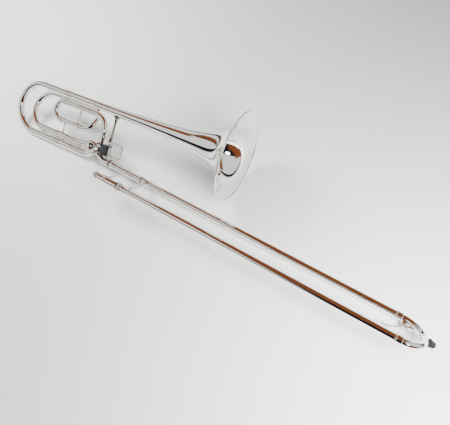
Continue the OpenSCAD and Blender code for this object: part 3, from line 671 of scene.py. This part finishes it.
# ---------- tuning slides ----------
def tuning_slides():
    bow = Shape().bow((TUNING_BOW_X, 0, SPREAD / 2), SPREAD / 2, TUNING_R, 90, 180, steps=96)
    legs = Shape()
    for z in (0, SPREAD):
        place = moved(0, 0, z)
        bow.turned([(TUNING_BOW_X, TUNING_R), (SLEEVE_REAR_X - 6, TUNING_R)], place, closed=False)
        legs.turned(pipe(SLEEVE_REAR_X - 6, TUNING_LEG_FRONT_X, TUNING_R, TUNING_R - LEG_WALL),
                    place)
        legs.turned(ferrule(SLEEVE_REAR_X - 10, SLEEVE_REAR_X - 1, TUNING_R + 1, TUNING_R), place)
    silver_tube(bow, "tuning_bow", BELL, "tuning_slide")
    silver_tube(legs, "tuning_legs", BELL, "tuning_slide")
    rise = F_HIGH_Z - F_LOW_Z
    tilt = math.degrees(math.atan2(F_HIGH_Y, rise))
    centre = (F_BOW_X, F_HIGH_Y / 2, (F_LOW_Z + F_HIGH_Z) / 2)
    bow = Shape().bow(centre, math.hypot(rise, F_HIGH_Y) / 2, WRAP_R, 90, 180, tilt, steps=96)
    legs = Shape()
    for y, z, rear in F_LEGS:
        place = moved(0, y, z)
        bow.turned([(F_BOW_X, WRAP_R), (rear - 6, WRAP_R)], place, closed=False)
        legs.turned(pipe(rear - 6, F_SLEEVE_FRONT_X - 4, WRAP_R, WRAP_R - LEG_WALL), place)
        legs.turned(ferrule(rear - 9, rear - 1, WRAP_R + 0.9, WRAP_R), place)
    silver_tube(bow, "f_tuning_bow", BELL, "f_tuning_slide")
    silver_tube(legs, "f_tuning_legs", BELL, "f_tuning_slide")


# ---------- bell joint ----------
def lock_nut():
    """Knurled nut: a scalloped barrel between two smooth beads."""
    profile = [(-5.2, 9.1), (-5.2, 11.0), (-4.6, 11.4), (-3.4, 11.4), (-3.0, 11.0), (2.4, 11.0),
               (2.8, 11.4)]
    profile += [(4.0, 11.4), (4.6, 10.9), (4.6, 9.75), (-3.6, 9.75), (-3.6, 9.1)]
    shape = Shape().turned(eased(profile, 0.25), segments=108)
    shape.ridged((-3.1, -2.6, 2.0, 2.5), 10.95, [0.2, 0.42, 0.42, 0.2], 54)
    silver_fitting(shape, "lock_nut", LYING, "lock_nut")


def receiver():
    profile = [(-0.4, 7.75), (-0.4, 9.6), (8, 9.6), (8.2, 9.2), (15.6, 8.3), (46.4, 8.3), (47, 9.9),
               (49, 9.9)]
    profile += [(49.6, 9.3), (55.4, 9.3), (56, 9.9), (58, 9.9), (58, INNER_R), (43, INNER_R),
                (43, 7.05)]
    silver_fitting(Shape().turned(eased(profile, 0.3)), "slide_receiver", SLIDE, "inner_slide")


# ---------- inner hand slide ----------
def far(x=0.0):
    """The slide's other tube, a spread away from the one on the axis."""
    return moved(x, SLIDE_SPREAD, 0)


def inner_slide():
    profile = [(MOUTH_X, 6.5), (MOUTH_X, 8.0), (MOUTH_X + 0.6, 8.4), (MOUTH_X + 1.8, 8.4),
               (MOUTH_X + 2.3, 7.9)]
    profile += [(MOUTH_X + 4.6, 7.9), (MOUTH_X + 5.2, 8.7), (MOUTH_X + 6.8, 8.9),
                (MOUTH_X + 8.4, 8.7)]
    profile += [(MOUTH_X + 9, 7.9), (54, 7.9), (54, 7.35), (52, 5.95), (MOUTH_X + 25, 6.0),
                (MOUTH_X + 5, 6.5)]
    shape = Shape().turned(eased(profile, 0.25), far())
    silver_fitting(shape, "mouthpiece_receiver", SLIDE, "inner_slide")
    barrels = Shape()
    near = [(58, INNER_R), (58, 9.3), (BARREL_X - 4, 9.3), (BARREL_X - 3.8, 10.4),
            (BARREL_X - 2.2, 10.4)]
    near += [(BARREL_X - 1.9, 9.8), (BARREL_X - 0.9, 9.8), (BARREL_X - 0.6, 10.4),
             (BARREL_X + 1, 10.4)]
    near += [(BARREL_X + 1, 8.5), (62, 8.5), (62, INNER_R)]
    barrels.turned(eased(near, 0.25))
    outer = [(54, INNER_R), (54, 9.9), (56.4, 9.9), (57, 9.4), (59, 9.4), (59.6, 9.9), (62, 9.9),
             (62.4, 9.3)]
    outer += [(BARREL_X - 1, 9.3), (BARREL_X - 1, 8.5), (62, 8.5), (62, INNER_R)]
    barrels.turned(eased(outer, 0.25), far())
    silver_fitting(barrels, "cork_barrels", SLIDE, "inner_slide")
    tubes = Shape()
    for place in (Matrix.Identity(4), far()):
        profile = [(52, 6.95), (52, INNER_R), (638, INNER_R), (641, INNER_R + 0.1),
                   (762, INNER_R + 0.1), (762, 6.95)]
        tubes.turned(eased(profile, 0.2), place, 96)
    silver_tube(tubes, "inner_tubes", SLIDE, "inner_slide")
    silver_fitting(slide_brace(INNER_BRACE_X, 2.9, 5, 9.7), "inner_brace", SLIDE, "inner_slide", 50)


def slide_brace(x, r, end_r, clear_r):
    """Cross brace between the slide tubes, with a saddle and a turned neck at each end."""
    low, high = clear_r - 0.8, SLIDE_SPREAD - clear_r + 0.8
    half = [(0, end_r), (2.2, end_r), (3.0, end_r * 0.92), (4.6, r * 1.5), (5.4, r * 1.25),
            (6.2, r * 1.5)]
    half += [(7.2, r * 1.42), (9.0, r * 1.05), (11.0, r)]
    length = high - low
    profile = half + [(length - a, b) for a, b in reversed(half)]
    place = moved(x, low, 0) @ turned_about("Z", 90)
    return Shape().turned(profile, place, 56, closed=False)


def slide_lock():
    profile = [(LOCK_X, 9.35), (LOCK_X, 10.3), (LOCK_X + 0.5, 10.8), (LOCK_X + 1.8, 10.8),
               (LOCK_X + 2.2, 10.4)]
    profile += [(LOCK_X + 6.8, 10.4), (LOCK_X + 7.2, 10.8), (LOCK_X + 8.8, 10.8),
                (LOCK_X + 9.4, 10.2)]
    profile += [(LOCK_X + 9.4, 8.6), (LOCK_X + 6.4, 8.6), (LOCK_X + 6.2, 9.35)]
    shape = Shape().turned(eased(profile, 0.2), far(), 96)
    ridge = [LOCK_X + x for x in (2.3, 2.8, 6.2, 6.7)]
    shape.ridged(ridge, 10.35, [0.2, 0.4, 0.4, 0.2], 40, far())
    lug = [(-2, -2), (2, -2), (2, 2), (-2, 2)]
    place = far(BARREL_X - 2) @ turned_about("X", -90)
    shape.slab(lug, place, 10, 15, 0.6)
    silver_fitting(shape, "slide_lock_ring", SLIDE, "slide_lock")


def painted_reflection_bands():
    """Painted dark reflection: near-black bands on the lock nut, cork barrels, slide lock and
    receiver stand in for the dark their ring faces mirror.
    """
    def band(x0, x1, r, place=Matrix.Identity(4)):
        profile = [(x0, r - 0.6), (x0, r - 0.1), (x0 + 0.15, r), (x1 - 0.15, r), (x1, r - 0.1),
                   (x1, r - 0.6)]
        return Shape().turned(eased(profile, 0.1), place, 72)

    band(-5.5, -2.4, 11.5).made("lock_nut_painted_reflection", LYING, "lock_nut", "fitting_silver", PAINTED_DARK_REFLECTION)
    near = band(BARREL_X - 2.6, BARREL_X - 0.4, 10.45)
    near.made("bell_side_barrel_painted_reflection", SLIDE, "inner_slide", "fitting_silver", PAINTED_DARK_REFLECTION)
    mouth = band(MOUTH_X + 9.4, MOUTH_X + 11, 8.0, far())
    mouth.made("receiver_painted_reflection", SLIDE, "inner_slide", "fitting_silver", PAINTED_DARK_REFLECTION)
    lock = band(LOCK_X + 0.4, LOCK_X + 2.9, 10.9, far())
    lock.made("slide_lock_painted_reflection", SLIDE, "slide_lock", "fitting_silver", PAINTED_DARK_REFLECTION)


# ---------- outer hand slide ----------
def outer_slide():
    tubes = Shape()
    rings = Shape()
    ends = Shape()
    for place in (Matrix.Identity(4), far()):
        tubes.turned(pipe(OUTER_TUBE_X, SLIDE_FRONT_X, OUTER_R, OUTER_BORE_R), place, 96)
        profile = [(108, OUTER_R), (108, 9.3), (108.5, 9.7), (110.8, 9.7), (111.5, 9.2),
                   (112.2, 8.8), (128.4, 8.8)]
        profile += [(129, 9.3), (131.2, 9.3), (132, 8.6), (132, OUTER_R)]
        rings.turned(eased(profile, 0.25), place)
        x0, x1 = SLIDE_FRONT_X - 13, SLIDE_FRONT_X + 1
        profile = [(x0, OUTER_R), (x0, 9.2), (x0 + 0.5, 9.6), (x0 + 2, 9.6), (x0 + 2.6, 9),
                   (x1 - 1.2, 9)]
        profile += [(x1 - 0.3, 8.8), (x1, 8.4), (x1, OUTER_R)]
        ends.turned(eased(profile, 0.25), place)
    silver_tube(tubes, "outer_tubes", SLIDE, "outer_slide")
    stud = far() @ turned_about("X", 32) @ moved(121, 0, 0) @ turned_about("Z", 90)
    knob = [(8.4, 1.4), (9.4, 1.3), (10.0, 0.9), (10.4, 1.4), (11.0, 1.6), (11.6, 1.3), (11.8, 0.6)]
    rings.turned(knob, stud, 24, closed=False)
    silver_fitting(rings, "slide_ferrules", SLIDE, "outer_slide")
    silver_fitting(ends, "bow_ferrules", SLIDE, "outer_slide")
    silver_fitting(slide_brace(OUTER_BRACE_X, 4.1, 6, 8.6), "outer_brace", SLIDE, "outer_slide", 50)
    radius = SLIDE_SPREAD / 2
    path = [(SLIDE_FRONT_X + radius * math.cos(a), radius + radius * math.sin(a), 0)
            for a in arc(-90, 180, 96)]
    silver_tube(Shape().swept(path, OUTER_R, sides=56), "slide_bow", SLIDE, "outer_slide")
    bumper()


def bumper():
    tip = SLIDE_FRONT_X + SLIDE_SPREAD / 2 + OUTER_R
    profile = [(tip - 3.6, 6.4), (tip - 0.6, 8.4), (tip + 0.2, 8.95), (tip + 1.6, 9.0),
               (tip + 2.4, 8.6)]
    profile += [(tip + 4.0, 7.4), (tip + 6.0, 7.0), (tip + 8.4, 6.7), (tip + 10.2, 6.0),
                (tip + 11.6, 4.8)]
    profile += [(tip + 12.4, 3.4), (tip + 12.9, 1.6), (tip + 13.0, 0.3)]
    place = moved(0, SLIDE_SPREAD / 2, 0)
    shape = Shape().turned(profile, place, 64, closed=False)
    shape.made("bumper_cap", SLIDE, "outer_slide", "rubber", RUBBER, "rubber_bumper", sharp=50)


# ---------- hand guard and thumb trigger ----------
def rounded(width, height, corner, steps=10):
    """Corner-rounded rectangle about the origin."""
    out = []
    for quarter, (side, end) in enumerate(((1, 1), (-1, 1), (-1, -1), (1, -1))):
        for a in arc(90 * quarter, 90, steps):
            x = side * (width / 2 - corner) + corner * math.cos(a)
            out.append((x, end * (height / 2 - corner) + corner * math.sin(a)))
    return out


def hand_guard():
    """Leather sleeve round the bracket column: pulled in a little at the waist, edges rolled."""
    guard = Shape()
    levels = [(0.0, -1.6), (0.1, -0.7), (0.6, -0.2), (1.5, 0.0), (2.4, -0.15), (3.1, -0.5)]
    levels += [(3.8, -0.45), (8, -0.25), (13.5, 0.0), (19.5, -0.25), (23.4, -0.45), (24.2, -0.5),
               (25.0, -0.15)]
    levels += [(25.9, 0.05), (26.7, -0.2), (27.4, -0.8), (27.5, -1.6)]
    rows = []
    for z, grow in levels:
        outline = rounded(GUARD_WIDTH + 2 * grow, GUARD_DEPTH + 2 * grow, 5.0 + grow)
        rows.append([(GUARD_X + x, GUARD_Y + y, GUARD_Z + z) for x, y in outline])
    guard.loft(rows)
    for side in (-1, 1):
        ear = [(-2.4, 0), (2.4, 0), (2.6, 2.2), (1.6, 4.0), (0, 4.6), (-1.6, 4.0), (-2.6, 2.2)]
        spot = moved(GUARD_X + side * 6.2, -16.6, 42.0)
        place = spot @ turned_about("Y", side * 14) @ turned_about("X", 90)
        guard.slab(ear, place, -1.0, 1.0, 0.5)
    guard.made("hand_guard_hide", BELL, "bell_section", "guard_leather", LEATHER, "hand_guard",
               sharp=55)
    thread = Shape()
    for side in (-1, 1):
        x = GUARD_X + side * 6.6
        for i in range(9):
            z = GUARD_Z + 3.9 + i * 2.1
            path = [(x, -17.7, z), (x, -18.15, z + 0.25), (x, -18.2, z + 0.7),
                    (x, -18.15, z + 1.15), (x, -17.7, z + 1.4)]
            thread.swept(path, 0.26, sides=8)
    thread.made("hand_guard_stitches", BELL, "bell_section", "guard_leather", THREAD)


def bracket():
    shape = Shape()
    shape.turned([(6, 4), (52.4, 4), (54, 4)], upright_at(BRACE_X), 48, closed=False)
    collar = [(0, 8.06), (0, 9.0), (0.4, 9.3), (10.6, 9.3), (11, 9.0), (11, 8.06)]
    shape.turned(eased(collar, 0.25), moved(BRACE_X, 0, 0))
    reach = Vector((LEVER_X - BRACE_X, LEVER_Y))
    heading = math.degrees(math.atan2(reach.y, reach.x))
    tip_r, root_r = 3.6, 5.5
    outline = [(reach.length + tip_r * math.cos(a), tip_r * math.sin(a)) for a in arc(-90, 180, 24)]
    outline += [(root_r * math.cos(a), root_r * math.sin(a)) for a in arc(90, 180, 24)]
    for z in (16.5, 47.4):
        place = moved(BRACE_X, 0, z) @ turned_about("Z", heading)
        shape.slab(outline, place, 0, 3.2, 0.3)
    silver_fitting(shape, "lever_bracket")
    pin = [(15.6, 2.2), (15.8, 2.6), (16.5, 2.6), (16.5, 1.49), (51.2, 1.49), (51.6, 1.1)]
    shape = Shape().turned(pin, moved(0, LEVER_Y, 0) @ upright_at(LEVER_X), 32, closed=False)
    shape.made("hinge_pin_turned", BELL, "bell_section", "steel", STEEL, "hinge_pin", sharp=40)


def thumb_lever():
    shape = Shape()
    barrel = [(21, 1.55), (21, 2.9), (21.4, 3.3), (24.4, 3.3), (24.8, 2.9), (25.4, 2.9),
              (25.8, 3.3), (42.2, 3.3)]
    barrel += [(42.6, 2.9), (43.2, 2.9), (43.6, 3.3), (46.6, 3.3), (47, 2.9), (47, 1.55)]
    hinge = moved(LEVER_X, LEVER_Y, 0)
    shape.turned(eased(barrel, 0.15), hinge @ turned_about("Y", -90), 48)
    reach = LINK_Y + 0.2 - LEVER_Y
    swing = math.degrees(math.asin(LINK_PIN_R * math.cos(STOP_ARM_REST) / reach))
    arm = hinge @ turned_about("Z", 90 - swing)
    outline = [(2.2, -1.6), (reach - 2.4, -1.6)]
    outline += [(reach + 3 * math.cos(a), 3 * math.sin(a)) for a in arc(-147, 294, 16)]
    outline += [(reach - 2.4, 1.6), (2.2, 1.6)]
    level = LINK_Z - 8
    shape.slab(outline, arm, level, level + 4, 0.3)
    stub = [(level + 3, 1.3), (level + 12.4, 1.3), (level + 13, 0.7)]
    shape.turned(stub, arm @ moved(reach, 0, 0) @ turned_about("Y", -90), 24, closed=False)
    link = [(2, -4), (10, -4), (10, -1.4), (8, -1.0), (3, 1.0), (2, 1.0)]
    shape.slab(link, hinge, 28, 37.5, 0.3)
    shape.swept([(-3, -12.0, 24), (-2, -12.6, 24), (0, -12.8, 24)], [1.2, 1.4, 1.5], sides=16)
    silver_fitting(shape, "thumb_lever", BELL, "thumb_lever", 40)
    paddle()


def paddle():
    """Dished thumb plate with a thick rolled edge."""
    centre = moved(LEVER_X + 24.5, LEVER_Y - 3.6, 39) @ turned_about("X", 90)
    levels = [(3.6, 0.0), (1.2, 0.0), (0.7, 0.3), (0.6, 1.0), (1.2, 1.5), (3.0, 1.45), (4.2, 1.3)]
    levels += [(7.0, 1.12), (11.0, 1.0), (14.5, 0.96)]
    rows = []
    for inset, height in levels:
        corner = max(0.6, 8.0 - inset)
        outline = rounded(37 - 2 * inset, 38 - 2 * inset, corner, 14)
        rows.append([centre @ Vector((x, y, height)) for x, y in outline])
    plate = Shape().loft(rows)
    plate.made("thumb_paddle", BELL, "thumb_lever", "fitting_silver", FITTING_SILVER, sharp=60)
    roll = Shape()
    loop_path = [centre @ Vector((x, y, 1.25)) for x, y in rounded(34.5, 35.5, 7.0, 14)]
    roll.swept(loop_path, 1.24, sides=20, closed=True)
    # The rolled edge is coloured darker and warmer than the plate.
    roll.made("thumb_paddle_roll", BELL, "thumb_lever", "fitting_silver", DARKER_WARM_SILVER, sharp=60)


def linkage():
    """Rod from the rotor's stop arm to the thumb lever, a turned eye at each end."""
    shape = Shape()
    x0 = VALVE_X + LINK_PIN_R * math.cos(STOP_ARM_REST)
    place = moved(x0, LINK_Y + 1.2, LINK_Z)
    eye = [(0, 1.25), (0, 2.2), (0.3, 2.6), (1.7, 2.6), (2, 2.2), (2, 1.25)]
    shape.turned(eye, place @ turned_about("Z", -90), 40)
    path = [place @ Vector((x, -1, 0)) for x in (2.0, 2.6, 3.4, 4.0, 43.0, 44.0, 44.8)]
    shape.swept(path, [1.3, 1.5, 1.5, 1.1, 1.1, 1.6, 1.7], sides=20)
    ball = [(-1.5, 2.45), (-1.5, 3.5), (-0.9, 3.9), (0, 4.0), (0.9, 3.9), (1.5, 3.5), (1.5, 2.45)]
    shape.turned(ball, place @ moved(48, -1, 0) @ turned_about("Y", -90), 40)
    silver_fitting(shape, "linkage_rod", BELL, "linkage", 40)


# ---------- water key ----------
def water_key():
    saddle = Shape()
    for z in (-5.4, 3.4):
        ear = [(-3, 7), (3, 7)]
        ear += [(3 * math.cos(a), 16.4 + 3 * math.sin(a)) for a in arc(0, 180, 16)]
        saddle.slab(ear, moved(KEY_X, 0, 0), z, z + 2, 0.3)
    foot = [(-5, -6), (5, -6), (5, 6), (-5, 6)]
    saddle.slab(foot, moved(KEY_X, 0, 0) @ turned_about("X", -90), 6.6, 11.2, 0.5)
    nipple = [(6, 2.45), (6, 5.0), (9.6, 5.0), (10.4, 4.2), (15.8, 4.2), (16.4, 3.9), (16.6, 3.4),
              (16.6, 2.45)]
    saddle.turned(nipple, moved(KEY_NIPPLE_X, 0, 0) @ turned_about("Z", 90), 48)
    silver_fitting(saddle, "water_key_saddle", KEY, "outer_slide")
    lever = Shape()
    lever.turned([(-3.2, 1.16), (-3.2, 2.6), (3.2, 2.6), (3.2, 1.16)],
                 moved(KEY_X, KEY_HINGE_Y, 0) @ turned_about("Y", -90), 36)
    beam = [(0.4, 16.9), (9, 17.3), (14.4, 17.4), (14.4, 19.3), (9, 19.4), (4, 19.8), (0.4, 19.5)]
    lever.slab(beam, moved(KEY_X, 0, 0), -1.6, 1.6, 0.35)
    cap = [(17.4, 4.9), (17.6, 5.5), (18.2, 5.6), (18.9, 5.4), (19.4, 3.6), (19.5, 0.8)]
    lever.turned(cap, moved(KEY_NIPPLE_X, 0, 0) @ turned_about("Z", 90), 48, closed=False)
    finger_r = 56
    path = [(KEY_X - 42.2 + finger_r * math.cos(a), -19.7 + finger_r * math.sin(a), 0)
            for a in arc(42, 43, 32)]
    widths = [1.6 - 0.5 * math.sin(math.pi * i / 32) for i in range(33)]
    lever.swept(path, widths, sides=24)
    touch = [(35.2, 4.2), (35.3, 4.8), (35.9, 5.0), (36.6, 4.8), (37.0, 4.0), (36.9, 2.4),
             (36.8, 0.6)]
    lever.turned(touch, moved(KEY_X - 38, 0, 0) @ turned_about("Z", 90), 48, closed=False)
    silver_fitting(lever, "water_key_lever", KEY, "water_key", 40)


bell_surface()
sleeves()
neck()
valve()
f_tubing()
loop()
wrap_braces()
bell_brace()
tuning_slides()
lock_nut()
receiver()
inner_slide()
slide_lock()
painted_reflection_bands()
outer_slide()
hand_guard()
bracket()
thumb_lever()
linkage()
water_key()


# ---------- camera, floor and light ----------
def camera():
    data = bpy.data.cameras.new("camera")
    data.sensor_width = 36.0
    data.lens = 29.583
    view = bpy.data.objects.new("camera", data)
    view.location = (0.354, -0.3984, 0.7896)
    view.rotation_euler = [math.radians(a) for a in (29.136, 2.908, 31.414)]
    bpy.context.scene.collection.objects.link(view)
    bpy.context.scene.camera = view


def floor():
    size = 6.0
    mesh = bpy.data.meshes.new("floor")
    corners = [(-size, -size, 0), (size, -size, 0), (size, size, 0), (-size, size, 0)]
    mesh.from_pydata(corners, [], [(0, 1, 2, 3)])
    table = bpy.data.objects.new("floor", mesh)
    bpy.context.scene.collection.objects.link(table)
    material, nodes, links, shader, place = new_material("pale_paper")
    cloud = noise(nodes, links, place, 1.6, 3.0)
    coloured(nodes, links, shader, cloud.outputs["Fac"],
             ((0.3, (0.77, 0.77, 0.755)), (0.75, (0.81, 0.808, 0.795))))
    shader.inputs["Roughness"].default_value = 0.55
    fibres = noise(nodes, links, place, 900.0, 3.0)
    bump(nodes, links, shader, fibres.outputs["Fac"], 0.06, 0.0003)
    mesh.materials.append(material)


def value(nodes, links, operation, first, second):
    node = nodes.new("ShaderNodeMath")
    node.operation = operation
    for socket, source in zip(node.inputs, (first, second)):
        if isinstance(source, (int, float)):
            socket.default_value = source
        else:
            links.new(source, socket)
    return node.outputs[0]


def step(nodes, links, source, start, end):
    node = nodes.new("ShaderNodeMapRange")
    node.interpolation_type = "SMOOTHSTEP"
    node.inputs["From Min"].default_value = start
    node.inputs["From Max"].default_value = end
    links.new(source, node.inputs["Value"])
    return node.outputs["Result"]


def slope(nodes, links, source, start_end, low_high):
    """Runs evenly from low to high as the source goes from start to end, and is level outside."""
    node = nodes.new("ShaderNodeMapRange")
    for socket, number in zip(node.inputs[1:5], start_end + low_high):
        socket.default_value = number
    links.new(source, node.inputs["Value"])
    return node.outputs["Result"]


def blend(nodes, links, factor, first, second):
    node = nodes.new("ShaderNodeMix")
    node.data_type = "RGBA"
    links.new(factor, node.inputs["Factor"])
    for socket, source in ((node.inputs[6], first), (node.inputs[7], second)):
        if isinstance(source, tuple):
            socket.default_value = source
        else:
            links.new(source, socket)
    return node.outputs[2]


def edge(nodes, links, source, slopes):
    """Where a colour in the room stops, sliding with the source: the sum of some slopes."""
    total = None
    for start_end, low_high in slopes:
        part = slope(nodes, links, source, start_end, low_high)
        total = part if total is None else value(nodes, links, "ADD", total, part)
    return total


def room():
    """A white room seen in reflections: timber overhead, dark at both horizons, one bright lamp.

    `over` is a direction's place over the table in half turns, from 0 at the far horizon to 1 at
    the near one. The edges of the timber and of the dark beside it slide with x.
    """
    timber_from = (((-0.8, -0.1), (0.2, 0.075)), ((-0.72, -0.69), (0.0, 0.17)),
                   ((-0.53, -0.48), (0.0, -0.17)))
    timber_to = (((-0.72, -0.69), (0.37, 0.56)), ((-0.5, 0.1), (0.0, 0.06)))
    dark_to = (((-0.38, -0.34), (0.0, 0.46)), ((-0.34, 0.25), (0.0, 0.38)),
               ((-0.72, -0.68), (0.43, 0.1)))
    timber_right_end = (0.36, 0.47)
    near_horizon = (0.84, 0.87)
    far_horizon = (0.06, 0.045)
    to_lamp = Vector((0.62, -0.42, 0.66)).normalized()
    lamp_edge = (0.13, 0.1)
    wall = (1.04, 1.04, 1.02, 1)
    timber = (0.25, 0.078, 0.03, 1)
    dark = (0.012, 0.013, 0.017, 1)
    glare = (9, 9, 9, 1)
    backdrop = (0.8, 0.8, 0.79, 1)
    fill = (0.2, 0.2, 0.2, 1)

    studio = bpy.data.worlds.new("studio")
    studio.use_nodes = True
    # Sampled as a light, the room would ignore the colour set for diffuse rays below.
    studio.cycles.sampling_method = "NONE"
    bpy.context.scene.world = studio
    nodes = studio.node_tree.nodes
    links = studio.node_tree.links
    background = nodes["Background"]
    place = nodes.new("ShaderNodeTexCoord")
    axes = nodes.new("ShaderNodeSeparateXYZ")
    links.new(place.outputs["Generated"], axes.inputs[0])
    x, y, z = axes.outputs
    over = value(nodes, links, "DIVIDE", value(nodes, links, "ARCTAN2", z, y), math.pi)

    def past(slopes, start, end):
        beyond = value(nodes, links, "SUBTRACT", over, edge(nodes, links, x, slopes))
        return step(nodes, links, beyond, start, end)

    sky = blend(nodes, links, past(dark_to, -0.015, 0.015), dark, wall)
    beam = blend(nodes, links, step(nodes, links, x, *timber_right_end), timber, wall)
    sky = blend(nodes, links, past(timber_to, -0.02, 0.02), beam, sky)
    sky = blend(nodes, links, past(timber_from, 0.01, -0.01), sky, wall)
    sky = blend(nodes, links, step(nodes, links, over, *near_horizon), sky, dark)
    sky = blend(nodes, links, step(nodes, links, over, *far_horizon), sky, dark)
    corner = value(nodes, links, "MULTIPLY", step(nodes, links, x, 0.5, 0.65),
                   step(nodes, links, y, 0.05, -0.1))
    corner = value(nodes, links, "MULTIPLY", corner, step(nodes, links, z, 0.45, 0.3))
    sky = blend(nodes, links, corner, sky, timber)

    from_lamp = nodes.new("ShaderNodeVectorMath")
    from_lamp.operation = "DISTANCE"
    links.new(place.outputs["Generated"], from_lamp.inputs[0])
    from_lamp.inputs[1].default_value = to_lamp
    glow = step(nodes, links, from_lamp.outputs["Value"], *lamp_edge)
    sky = blend(nodes, links, glow, sky, glare)
    seen = nodes.new("ShaderNodeLightPath")
    sky = blend(nodes, links, seen.outputs["Is Camera Ray"], sky, backdrop)
    sky = blend(nodes, links, seen.outputs["Is Diffuse Ray"], sky, fill)
    links.new(sky, background.inputs["Color"])
    background.inputs["Strength"].default_value = 1.0


def lamp(name, location, size, watts):
    """Soft panel that hangs level; the room, not the panel, is what the silver mirrors."""
    data = bpy.data.lights.new(name, "AREA")
    data.shape = "RECTANGLE"
    data.size, data.size_y = size
    data.energy = watts
    light = bpy.data.objects.new(name, data)
    light.location = location
    light.visible_glossy = False
    bpy.context.scene.collection.objects.link(light)


camera()
floor()
room()
lamp("near_right", (0.86, -0.28, 0.7), (0.6, 0.5), 38)
lamp("left", (-1.05, 0.1, 1.1), (0.8, 0.6), 40)
lamp("overhead", (0, 0, 4.0), (4.0, 4.0), 60)
